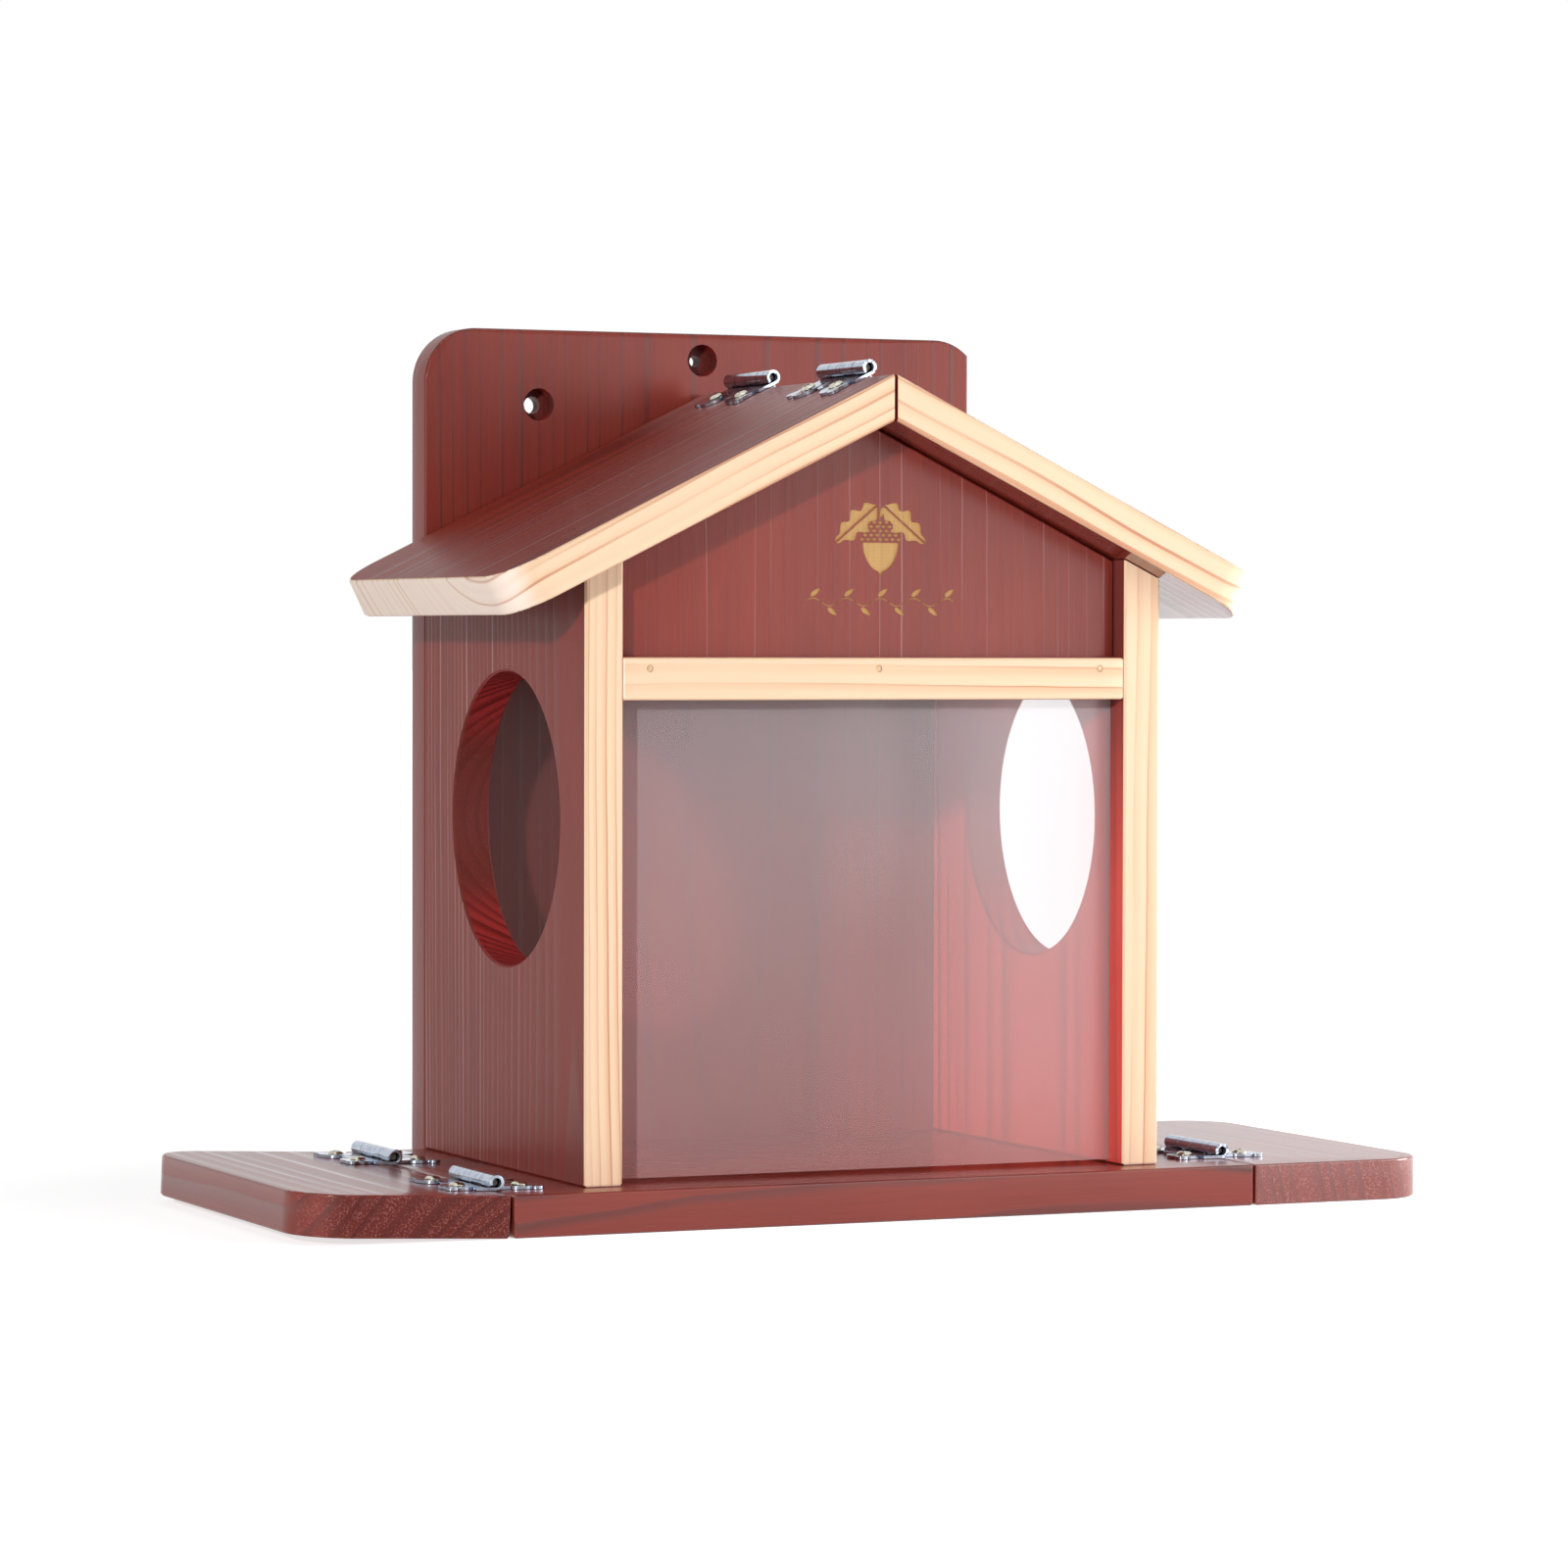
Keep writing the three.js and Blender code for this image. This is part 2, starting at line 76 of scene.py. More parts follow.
# The round ways in: their middle on the wall (y, z), the radii of their bore and of their rims, and how
# far from the middle their finish goes
ENTRY = (-2.75 * MM, 133 * MM)
ENTRY_RADII = (50 * MM, 50.71 * MM)
ENTRY_REACH = 52 * MM

# The hanging holes: their middles on the back board (x, z), and how far from them their finish goes
HANGING_HOLES = ((-63 * MM, 277 * MM), (0.0, 294 * MM), (63 * MM, 277 * MM))
HANGING_REACH = 6 * MM

# The engraving, in millimetres on the gable's face (x, z)
ACORN = {"middle": (4.0, 226.0), "size": 23.0}
TWIG = {"start": (-24.0, 206.5), "length": 56.0, "wave": 1.3, "leaves": 9}
ENGRAVING_DEPTH = 0.5 * MM

# A pin, by how much it is shorter than its hinge, and the rounding of edges
PIN_RADIUS = 1.3 * MM
PIN_SHORTER = 5 * MM
PIN_EASE = 0.2 * MM
LEAF_EASE = 0.22 * MM

# Screws and pins: the head's radius and rise, and the shank's radius and length. Sunk says how far the
# head's underside lies inside the low side of the solid screw or pin.
HINGE_SCREW = {"Head": 2.7 * MM, "Rise": 1.1 * MM, "Shank": 1.25 * MM, "Length": 9 * MM}
HINGE_SCREW_PROUD = 0.15 * MM
FLOOR_SCREW = {"Head": 3.6 * MM, "Rise": 0.9 * MM, "Shank": 1.75 * MM, "Length": 30 * MM}
FLOOR_SCREW_SUNK = 1.2 * MM
RAIL_PIN = {"Head": 1.1 * MM, "Rise": 0.12 * MM, "Shank": 0.65 * MM, "Length": 13 * MM}
RAIL_PIN_SUNK = 0.1 * MM

# Lamps: name, heading and height in degrees, and distance and size in metres
LAMPS = (("key", -44, 13, 2.4, 0.11), ("fill", 38, 14, 0.85, 0.6), ("side", 78, 8, 0.9, 0.4),
         ("top", -15, 72, 1.5, 1.2))


# Helpers for colours, sockets and nodes

def srgb(red, green, blue):
    """A colour written as it looks on a screen, from 0 to 255, as linear light."""
    parts = [value / 255 for value in (red, green, blue)]
    return tuple(v / 12.92 if v <= 0.04045 else ((v + 0.055) / 1.055) ** 2.4 for v in parts)


def put(tree, socket, value):
    """Gives an input its value, or its link where the value comes out of another node."""
    value = getattr(value, "socket", value)
    if isinstance(value, bpy.types.NodeSocket):
        tree.links.new(value, socket)
    elif socket.type == "RGBA" and len(value) == 3:
        socket.default_value = (*value, 1)
    else:
        socket.default_value = value


def add(tree, kind, settings=(), inputs=()):
    """One node: its kind, then its settings, then what goes into its inputs."""
    node = tree.nodes.new(kind)
    for name, value in dict(settings).items():
        setattr(node, name, value)
    for name, value in dict(inputs).items():
        put(tree, node.inputs[name], value)
    return node


def arithmetic(operation, swapped=False):
    """A method that works a new amount out of its own and, where there is one, another."""
    def worked(self, *other):
        return self.work(operation, *((*other, self) if swapped else (self, *other)))
    return worked


class Amount:
    """A number in a tree of nodes, so that a rule is written as plain arithmetic."""

    def __init__(self, tree, socket):
        self.tree = tree
        self.socket = socket

    def work(self, operation, *values, clamp=False):
        node = add(self.tree, "ShaderNodeMath", {"operation": operation, "use_clamp": clamp})
        for socket, value in zip(node.inputs, values):
            put(self.tree, socket, value)
        return Amount(self.tree, node.outputs[0])

    __add__, __radd__ = arithmetic("ADD"), arithmetic("ADD", swapped=True)
    __sub__, __rsub__ = arithmetic("SUBTRACT"), arithmetic("SUBTRACT", swapped=True)
    __mul__, __rmul__ = arithmetic("MULTIPLY"), arithmetic("MULTIPLY", swapped=True)
    __truediv__, __pow__ = arithmetic("DIVIDE"), arithmetic("POWER")
    sqrt, fraction, size = arithmetic("SQRT"), arithmetic("FRACT"), arithmetic("ABSOLUTE")

    def between(self):
        """The same number, held between 0 and 1."""
        return self.work("ADD", self, 0.0, clamp=True)

    def step(self, low, high):
        """0 below low, 1 above high, and a smooth change between them."""
        node = add(self.tree, "ShaderNodeMapRange", {"interpolation_type": "SMOOTHSTEP"},
                   {"Value": self, "From Min": low, "From Max": high})
        return Amount(self.tree, node.outputs["Result"])


class Tree:
    """A tree of nodes in the making."""

    def node(self, kind, settings=(), inputs=()):
        return add(self.tree, kind, settings, inputs)

    def vector(self, x=0.0, y=0.0, z=0.0):
        return self.node("ShaderNodeCombineXYZ", inputs={"X": x, "Y": y, "Z": z}).outputs[0]


def seen_ray(tree):
    """1 for rays from the camera, off gloss or through the pane, 0 for the rays that only carry light."""
    path = add(tree, "ShaderNodeLightPath")
    camera, glossy, through = (Amount(tree, path.outputs[f"Is {kind} Ray"])
                               for kind in ("Camera", "Glossy", "Transmission"))
    return (camera + glossy + through).between()


# Finishes

class Finish(Tree):
    """A material in the making: its tree, and the nodes that more than one finish starts from."""

    def __init__(self, name):
        self.material = bpy.data.materials.new(name)
        self.material.use_nodes = True
        self.tree = self.material.node_tree
        self.tree.nodes.clear()

    def place(self):
        """Where a point of the piece is, in millimetres."""
        coordinates = self.node("ShaderNodeTexCoord")
        scaled = self.node("ShaderNodeVectorMath", {"operation": "SCALE"},
                           {0: coordinates.outputs["Object"], "Scale": 1 / MM})
        return scaled.outputs[0]

    def facing(self, direction):
        """How squarely the surface faces along a direction of the piece, from 0 to 1."""
        coordinates = self.node("ShaderNodeTexCoord")
        return self.along(coordinates.outputs["Normal"], direction).size()

    def less(self, vector, other):
        node = self.node("ShaderNodeVectorMath", {"operation": "SUBTRACT"}, {0: vector, 1: other})
        return node.outputs[0]

    def along(self, vector, direction):
        """How far a vector reaches in a direction."""
        node = self.node("ShaderNodeVectorMath", {"operation": "DOT_PRODUCT"}, {0: vector, 1: direction})
        return Amount(self.tree, node.outputs["Value"])

    def noise(self, x, y, z, detail=2.0, roughness=0.5):
        node = self.node("ShaderNodeTexNoise", {"noise_dimensions": "3D"}, {
            "Vector": self.vector(x, y, z), "Scale": 1.0, "Detail": detail, "Roughness": roughness})
        return Amount(self.tree, node.outputs[0])

    def blend(self, share, first, second):
        """A colour between two, by the second's share, which is held between 0 and 1."""
        node = self.node("ShaderNodeMix", {"data_type": "RGBA", "clamp_factor": True})
        put(self.tree, node.inputs["Factor"], share)
        for socket, value in zip([s for s in node.inputs if s.type == "RGBA"], (first, second)):
            put(self.tree, socket, value)
        return next(s for s in node.outputs if s.type == "RGBA")

    def bump(self, height, depth, strength=1.0):
        inputs = {"Height": height, "Distance": depth, "Strength": strength}
        return self.node("ShaderNodeBump", inputs=inputs).outputs[0]

    def surface(self, **inputs):
        """The shader itself, with its inputs named by words joined with underscores."""
        words = {name.replace("_", " "): value for name, value in inputs.items()}
        return self.node("ShaderNodeBsdfPrincipled", inputs=words).outputs[0]

    def clear(self, tint=(1, 1, 1)):
        return self.node("ShaderNodeBsdfTransparent", inputs={"Color": tint}).outputs[0]

    def mixed(self, share, first, second):
        """A shader between two, by the second's share."""
        return self.node("ShaderNodeMixShader", inputs={0: share, 1: first, 2: second}).outputs[0]

    def done(self, shader):
        self.node("ShaderNodeOutputMaterial", inputs={"Surface": shader})
        return self.material


class Grain:
    """Solid softwood: growth rings round a pith that runs beside the board, and its fibres."""

    def __init__(self, finish, board):
        across, along = Vector(board["across"]), Vector(board["along"])
        through = along.cross(across)
        seed = board["seed"]
        spot = finish.less(finish.place(), board["centre"] / MM)
        u, v, w = (finish.along(spot, direction) for direction in (along, across, through))
        drift = finish.noise(u / 420 + seed, v / 130, w / 130, 0.0) - 0.5
        lean = finish.noise(u / 110, v / 34 + seed, w / 34, 1.0) - 0.5
        shiver = finish.noise(u / 16, v / 9, w / 9 + seed, 1.0) - 0.5
        pith_v, pith_w = board["pith"]
        self.radius = (((v - pith_v) ** 2.0 + (w - pith_w) ** 2.0).sqrt() + drift * board["drift"]
                       + lean * board["lean"] + shiver * 0.3)
        spread = finish.noise(u / 1500, self.radius / 13, seed, 1.0) - 0.5
        self.ring = (self.radius / board["spacing"] + spread * 2.4 + 40.0).fraction()
        self.late = self.ring.step(board["late_from"], 0.88) * (1 - self.ring.step(0.93, 1.0))
        edge = 0.95 - board["line"]
        self.line = self.ring.step(edge - 0.06, edge) * (1 - self.ring.step(0.95, 1.0))
        self.fibre = finish.noise(u / 34, v * 1.15 + seed, w * 1.15, 3.0, 0.62)
        self.pore = finish.noise(u / 7, v * 3.1, w * 3.1 + seed, 2.0, 0.7)
        self.cloud = finish.noise(u / 70, v / 17, w / 17 + seed, 2.0)
        self.strength = finish.noise(u / 160 + seed, self.radius / 5.0, 0.0, 1.0) - 0.5
        self.u, self.v, self.w = u, v, w

    def shade(self, clouds, fibres):
        """How pale the wood is from place to place."""
        return 0.5 + clouds * (self.cloud - 0.5) + fibres * (self.fibre - 0.5)


def painted_wood(name, board, colours, look="paint"):
    """Red-brown stain that shows the grain, with some painted light, shade and sheen. Looks: paint, inside
    (painted light), ends of fibres, or bore of a hole (painted shade).
    """
    finish = Finish(name)
    grain = Grain(finish, board)
    inside, ends = look == "inside", look in ("ends", "bore")
    square = finish.facing(board["along"])
    shade = grain.shade(0.7, 0.6)
    # Painted light: the inner faces of the walls get a brighter red, as if lit through the pane
    if inside:
        base = finish.blend(shade, colours.inside_dark, colours.inside)
    else:
        base = finish.blend(shade, colours.paint_dark, colours.paint)
    lines = {"paint": board["dark_lines"], "inside": board["dark_lines"] * 1.2,
             "ends": board["end_lines"], "bore": 0.5}[look]
    dark = grain.late * lines * (0.8 + 2.4 * grain.strength)
    base = finish.blend(dark, base, colours.paint_deep)
    # Pale lines on the raised grain: partly rubbed stain, partly painted sheen
    pale = (grain.line * board["pale_lines"] * (0.45 + 6 * grain.strength)).between()
    if board["fade"]:
        pale = pale * grain.v.step(*board["fade"])
    # Pale lines and their painted sheen only on the top face
    if board["pale_top_only"]:
        pale = pale * (1 - grain.w.step(-6.6, -5.4))
    if look == "bore":
        # Painted shade: the sides of a bore are darker; its top and foot keep the crimson of fibre ends
        cross = square.step(0.4, 0.85)
        base = finish.blend(0.75, base, finish.blend(cross, colours.bore_side_shade, colours.bore_end))
        base = finish.blend(grain.late * cross * 0.7, base, colours.paint_deep)
    if board["shut_in_shade"]:
        # Painted shade on the back board inside the box: only the front face between the side walls and under
        # the roof, most on the left, where the left wall casts its shadow
        within = (1 - grain.v.size().step(88, 96)) * (1 - grain.w.step(-6.5, -5))
        roofed = (grain.u + grain.v.size() * 0.49).step(112, 120)
        left = 1 - 0.85 * grain.v.step(-60, -10)
        base = finish.blend(within * (1 - roofed) * board["shut_in_shade"] * left, base, colours.shut_in_shade)
    # Painted highlight: pale streaks near the ridge that stand for a lamp's reflection
    if board["painted_ridge_highlight"]:
        pale = pale + board["painted_ridge_highlight"] * (1 - grain.u.step(-76, -35)) * (grain.fibre - 0.3)
    base = finish.blend(board["shade"], base, colours.paint_deep)
    polish = 0.0
    if inside and board["strip"]:
        # In front of the pane: painted shade under the eave, and glossier further down
        strip, high = 1 - grain.v.step(*board["strip"]), grain.u.step(-20, 80)
        base = finish.blend(strip * high * 0.84, base, colours.shut_in_shade)
        polish = 0.55 * strip * (1 - high)
    square = square.step(0.7, 0.97)
    if ends:
        pale = 0.0
        base = finish.blend(board["end_shade"] * square, base, colours.paint_deep)
        # Painted glints: pale specks on the fibre ends
        speck = finish.noise(grain.u * 1.9, grain.v * 1.9, grain.w * 1.9, 1.0)
        fleck_and_glint = speck.step(0.54, 0.64) * (1 - 0.8 * grain.late)
        fleck_and_glint = fleck_and_glint * (board["end_glints"] if look == "ends" else 0.06)
    else:
        fleck_and_glint = (grain.pore - 0.66).step(0.0, 0.1) * board["flecks"]
        base = finish.blend(pale, base, colours.rubbed_paint_and_sheen)
    base = finish.blend(fleck_and_glint, base, colours.rubbed_paint_and_sheen)
    height = grain.fibre * 0.45 + grain.late * 0.6 + grain.pore * (0.8 if ends else 0.3)
    if board["milled"]:
        passes = (grain.u * 0.5 + grain.w * 0.3).fraction() * finish.facing(board["across"]).step(0.5, 0.9)
        height = height + passes * (1 - grain.w.step(-4, 1)) * board["milled"]
    rough = (0.56 - 0.1 * grain.late + 0.12 * (grain.pore - 0.5)).between()
    gloss = board["gloss"] * {"paint": 1.0, "inside": 0.6, "ends": 1.0, "bore": 0.15}[look]
    if look == "ends":
        gloss = gloss * (1 - (1 - board["end_gloss"]) * square)
    gloss = (gloss * (0.85 + 0.3 * grain.late * lines + 0.3 * pale) + polish).between()
    return finish.done(finish.surface(
        Base_Color=base, Roughness=rough, Coat_Weight=gloss, Coat_Roughness=board["satin"],
        Coat_IOR=board["coat"], Specular_IOR_Level=0.12,
        Normal=finish.bump(height, 0.12 * MM, board["relief"])))


def bare_wood(name, board, colours):
    """Planed softwood: cream early wood and thin orange lines, paler where fibres end."""
    finish = Finish(name)
    grain = Grain(finish, board)
    ends = finish.facing(board["along"]).step(0.3, 0.8)
    base = finish.blend(grain.shade(0.8, 0.5), colours.wood_warm, colours.wood)
    base = finish.blend(ends * 0.95, base, colours.wood_end)
    late = grain.late * (0.75 - 0.55 * ends) * (0.85 + 2.5 * grain.strength)
    base = finish.blend(late, base, colours.wood_late)
    line = grain.line * board["wood_lines"] * (0.8 - 0.7 * ends + 4 * grain.strength)
    base = finish.blend(line, base, colours.wood_line)
    speck = (grain.pore - 0.64).step(0.0, 0.12) * 0.3
    base = finish.blend(speck, base, colours.wood_late)
    height = grain.fibre * 0.5 + grain.late * 0.3 + grain.pore * 0.3
    rough = (0.56 + 0.14 * (grain.fibre - 0.5) - 0.06 * grain.late).between()
    return finish.done(finish.surface(
        Base_Color=base, Roughness=rough, Specular_IOR_Level=0.3,
        Normal=finish.bump(height, 0.1 * MM, 0.5)))


def engraved_wood(name, board, colours):
    """Wood under the stain, toasted by the tool that cut into it in fine passes."""
    finish = Finish(name)
    grain = Grain(finish, board)
    passes = (grain.u * 2.2 + grain.cloud * 0.3).fraction() - 0.5
    shade = 0.5 + 0.9 * (grain.fibre - 0.5) + 0.5 * passes
    base = finish.blend(shade, colours.engraved_dark, colours.engraved)
    rough = (0.62 + 0.2 * (grain.pore - 0.5)).between()
    return finish.done(finish.surface(
        Base_Color=base, Roughness=rough, Specular_IOR_Level=0.25,
        Normal=finish.bump(passes + grain.fibre, 0.12 * MM, 0.6)))


def clear_sheet(name, colours, low, high):
    """Thin clear plastic with a milky bloom, heavier towards the top and the right. Below, the bloom is
    tinted red: painted light from the lit walls inside.
    """
    finish = Finish(name)
    spot = finish.place()
    across, height = finish.along(spot, X), finish.along(spot, Z)
    rise = ((height - low[2] / MM) / ((high[2] - low[2]) / MM)).between()
    right = across.step(0, high[0] / MM)
    smear = finish.noise(across / 70, height / 90, 3.7, 1.0) - 0.5
    base = finish.blend(rise, colours.pane_low_painted_red, colours.pane_high)
    bloom = finish.surface(
        Base_Color=base, Roughness=(0.2 + 0.06 * smear).between(), Specular_IOR_Level=0.5)
    shadow, leaving = (
        Amount(finish.tree, finish.node(kind).outputs[name]) for kind, name in (
            ("ShaderNodeLightPath", "Is Shadow Ray"), ("ShaderNodeNewGeometry", "Backfacing")))
    share = colours.pane_bloom + 0.02 * rise + 0.18 * right + 0.06 * smear
    share = (share * (1 - shadow) * (1 - leaving)).between()
    return finish.done(finish.mixed(share, finish.clear((0.97, 0.97, 0.975)), bloom))


def plated_metal(name, colour, tarnish, gloss, wear=0.06):
    """Bright plating, slightly rippled by the press, dulled in patches."""
    finish = Finish(name)
    spot = finish.place()
    axes = [finish.along(spot, axis) for axis in (X, Y, Z)]
    cloud = finish.noise(*(axis / 2.6 for axis in axes), 2.0)
    fine = finish.noise(*(axis * 2.4 for axis in axes), 2.0)
    dull = (cloud - 0.42).step(0.0, 0.25)
    base = finish.blend(dull * 0.6, colour, tarnish)
    rough = (gloss + wear * dull + 0.08 * (fine - 0.5)).between()
    height = cloud * 0.7 + fine * 0.1
    return finish.done(finish.surface(
        Base_Color=base, Metallic=1.0, Roughness=rough, Normal=finish.bump(height, 0.22 * MM, 0.1)))


# Meshes

def centre_of(node):
    low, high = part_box(node)
    return (Vector(low) + Vector(high)) / 2


def new_object(name, data):
    piece = bpy.data.objects.new(name, data)
    bpy.context.scene.collection.objects.link(piece)
    return piece


def soften(piece, angle):
    """Smooth shading up to an angle, with the large faces kept flat."""
    mesh = piece.data
    work = bmesh.new()
    work.from_mesh(mesh)
    for face in work.faces:
        face.smooth = True
    for edge in work.edges:
        edge.smooth = len(edge.link_faces) == 2 and edge.calc_face_angle() < radians(angle)
    work.to_mesh(mesh)
    work.free()
    weighted = piece.modifiers.new("flat faces", "WEIGHTED_NORMAL")
    weighted.keep_sharp = True
    weighted.weight = 90


def refine_round(work, axis, centre, radii):
    """Cuts each edge of an opening's round rims in three and brings the new points onto their circles."""
    first, second = ((1, 2), (2, 0), (0, 1))[axis]

    def reach(vert):
        return Vector((vert.co[first] - centre[0], vert.co[second] - centre[1])).length

    def on_rim(vert):
        return min(abs(reach(vert) - radius) for radius in radii) < 0.03 * MM

    rim = [edge for edge in work.edges if all(on_rim(vert) for vert in edge.verts)
           and abs(edge.verts[0].co[axis] - edge.verts[1].co[axis]) < 0.01 * MM]
    made = bmesh.ops.subdivide_edges(work, edges=rim, cuts=2, use_grid_fill=True)
    for vert in made["geom_inner"]:
        if isinstance(vert, bmesh.types.BMVert):
            scale = min(radius for radius in radii if radius > reach(vert)) / reach(vert)
            vert.co[first] = centre[0] + (vert.co[first] - centre[0]) * scale
            vert.co[second] = centre[1] + (vert.co[second] - centre[1]) * scale


def joined_copy(node, name, rounds=()):
    """A new mesh of a CAD node: its loose triangles joined, and flat faces made whole."""
    mesh = frame["nodes"][node].data.copy()
    mesh.name = name
    mesh.materials.clear()
    work = bmesh.new()
    work.from_mesh(mesh)
    bmesh.ops.remove_doubles(work, verts=work.verts, dist=0.002 * MM)
    bmesh.ops.dissolve_limit(
        work, angle_limit=radians(0.4), use_dissolve_boundaries=False, verts=work.verts, edges=work.edges)
    for opening in rounds:
        refine_round(work, *opening)
    bmesh.ops.triangulate(work, faces=[face for face in work.faces if len(face.verts) > 4])
    work.to_mesh(mesh)
    work.free()
    return new_object(name, mesh)


def evaluated(piece, name):
    """A plain mesh of what a piece's modifiers make of it. The piece itself goes."""
    shown = piece.evaluated_get(bpy.context.evaluated_depsgraph_get())
    mesh = bpy.data.meshes.new_from_object(shown)
    mesh.name = name
    bpy.data.objects.remove(piece)
    return new_object(name, mesh)


def complete(piece, body, slot, *nodes, angle=50):
    """Shades a piece, sets it on its body and hides the nodes that it stands for. Slot is not used."""
    soften(piece, angle)
    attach(piece, body)
    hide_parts(*nodes)


# Boards: the direction of each one's fibres, the direction across its face, and where the middle of its
# rings lies, in millimetres across and through the board from its own middle. The rest says how wide its
# rings are, how far they stray, how strong each trait of the wood and of the stain is, and how much painted
# light, shade and sheen each board gets.

def slope_direction(side):
    """Down the roof, on the left for -1 and on the right for 1."""
    return (side * cos(ROOF_SLOPE), 0.0, -sin(ROOF_SLOPE))


TRAITS = dict(
    lean=1.6, line=0.05, late_from=0.3, wood_lines=0.5, fade=None, pale_top_only=False, painted_ridge_highlight=0.0,
    milled=0.0, shade=0.0, shut_in_shade=0.0, strip=None, under={}, gloss=0.6, satin=0.24, coat=1.5,
    end_lines=0.7, end_glints=0.25, end_shade=0.1, end_gloss=1.0)
BOARDS = {
    "floor_board": dict(
        along=X, across=Y, pith=(24, -31), spacing=4.6, drift=26, lean=5, late_from=0.55, dark_lines=0.9,
        pale_lines=0.12, flecks=0.1, relief=0.8, gloss=1.0),
    "left_wing_board": dict(
        along=Y, across=(cos(LEFT_WING_RAISED), 0, -sin(LEFT_WING_RAISED)), pith=(74, 70), spacing=6.2,
        drift=8, line=0.12, dark_lines=0.45, pale_lines=0.7, flecks=0.05, relief=0.7, gloss=0.7, satin=0.16,
        end_glints=0.4, end_shade=0.6, end_gloss=0.3, pale_top_only=True, milled=1.5),
    "right_wing_board": dict(
        along=Y, across=X, pith=(-170, 30), spacing=5.6, drift=8, dark_lines=0.05, pale_lines=0.15,
        flecks=0.2, relief=0.25, gloss=1.0, satin=0.16, coat=1.8, end_glints=0.6, end_shade=0.0,
        end_lines=0.4, pale_top_only=True),
    "left_side_wall": dict(
        along=Z, across=Y, pith=(-66, 60), spacing=3.4, drift=12, line=0.1, fade=(-40, 30), dark_lines=0.2,
        pale_lines=0.7, flecks=0.04, relief=0.8, gloss=0.2),
    "right_side_wall": dict(
        along=Z, across=Y, pith=(-12, -86), spacing=5.4, drift=14, dark_lines=0.4, pale_lines=0.35,
        flecks=0.06, relief=0.8, strip=(-65, -64.5)),
    "back_board": dict(
        along=Z, across=X, pith=(14, 60), spacing=5.2, drift=14, late_from=0.78, dark_lines=0.6,
        pale_lines=0.05, flecks=0.03, relief=0.7, gloss=0.5, shut_in_shade=0.75, shade=0.16),
    "gable_panel": dict(
        along=Z, across=X, pith=(165, 30), spacing=5.4, drift=12, line=0.0, dark_lines=0.12, pale_lines=0.5,
        flecks=0.06, relief=0.9),
    "front_rail": dict(
        along=X, across=Z, pith=(-22, 24), spacing=3.6, drift=16, wood_lines=0.4),
    "left_roof_board": dict(
        along=slope_direction(-1), across=Y, pith=(66, 44), spacing=5.6, drift=14, dark_lines=0.85,
        pale_lines=0.5, flecks=0.04, relief=2.4, wood_lines=0.65, gloss=0.2, painted_ridge_highlight=3.0),
    "right_roof_board": dict(
        along=slope_direction(1), across=Y, pith=(-20, -52), spacing=4.8, drift=12, dark_lines=0.2,
        pale_lines=0.25, flecks=0.04, relief=0.5, wood_lines=0.7,
        under=dict(gloss=1.0, satin=0.12, coat=2.1)),
}
# What differs at the bare edges of the roof boards
ROOF_EDGE = dict(pith=(-60, -40), line=0.12, spacing=4.6, lean=4.5)
for count, (board_name, board) in enumerate(BOARDS.items()):
    BOARDS[board_name] = {**TRAITS, **board, "seed": 7.3 * count + 1.9, "centre": centre_of(board_name)}


def board_piece(node, finishes, rounds=()):
    """A board with its finishes, of which each face has the first until it is given another."""
    piece = joined_copy(node, node + "_dressed", rounds)
    for finish in finishes:
        piece.data.materials.append(finish)
    return piece


def stained(node, colours, *looks):
    """A board's stains, one for each look."""
    return [painted_wood(f"{node}_{look}", BOARDS[node], colours, look) for look in looks]


# Settings

def colour(name, description, *screen):
    """A colour that a user may change. Its default is as it looks on a screen, from 0 to 255."""
    return bpy.props.FloatVectorProperty(
        name=name, description=description, subtype="COLOR", default=srgb(*screen))


def number(name, description, default, unit="NONE"):
    """A size, an angle or a power that a user may change."""
    return bpy.props.FloatProperty(name=name, description=description, default=default, unit=unit)


class BoardSettings(bpy.types.PropertyGroup):
    paint: colour("Paint", "Stain where it is thin", 140, 52, 38)
    paint_dark: colour("Dark paint", "Stain where it is thick", 108, 32, 25)
    paint_deep: colour("Deep paint", "Stain in the late wood", 72, 20, 17)
    # Pale colour on the raised grain: partly rubbed stain, partly painted sheen, and the painted glints on
    # fibre ends
    rubbed_paint_and_sheen: colour("Rubbed paint", "Stain rubbed pale on the raised grain", 172, 118, 112)
    # Painted light: the two inside colours are brighter, as if the inner faces were lit through the pane
    inside: colour("Inside", "Thin bright stain on the inner faces", 240, 98, 86)
    inside_dark: colour("Dark inside", "Thicker stain on the inner faces", 216, 72, 62)
    # Painted shade on the sides of the round ways in
    bore_side_shade: colour("Bore side", "Sides of the round ways in", 92, 40, 36)
    bore_end: colour("Bore end", "Top and foot of the round ways in, where fibres end", 160, 44, 46)
    # Painted shade: the back board inside the box, and the band in front of the pane under the eave
    shut_in_shade: colour("Shut in", "Back board inside the box", 78, 46, 42)
    wood: colour("Wood", "Bare early wood", 240, 210, 178)
    wood_warm: colour("Warm wood", "Bare wood between its palest parts", 234, 200, 168)
    wood_late: colour("Late wood", "Bare wood towards the end of each ring", 228, 184, 148)
    wood_end: colour("Wood end", "Bare wood where its fibres end", 255, 236, 222)
    wood_line: colour("Ring line", "The thin line that ends each ring", 196, 134, 102)
    engraved: colour("Engraving", "Wood laid bare by the engraving", 214, 176, 118)
    engraved_dark: colour("Toasted engraving", "Engraved wood where the tool lingered", 170, 124, 72)


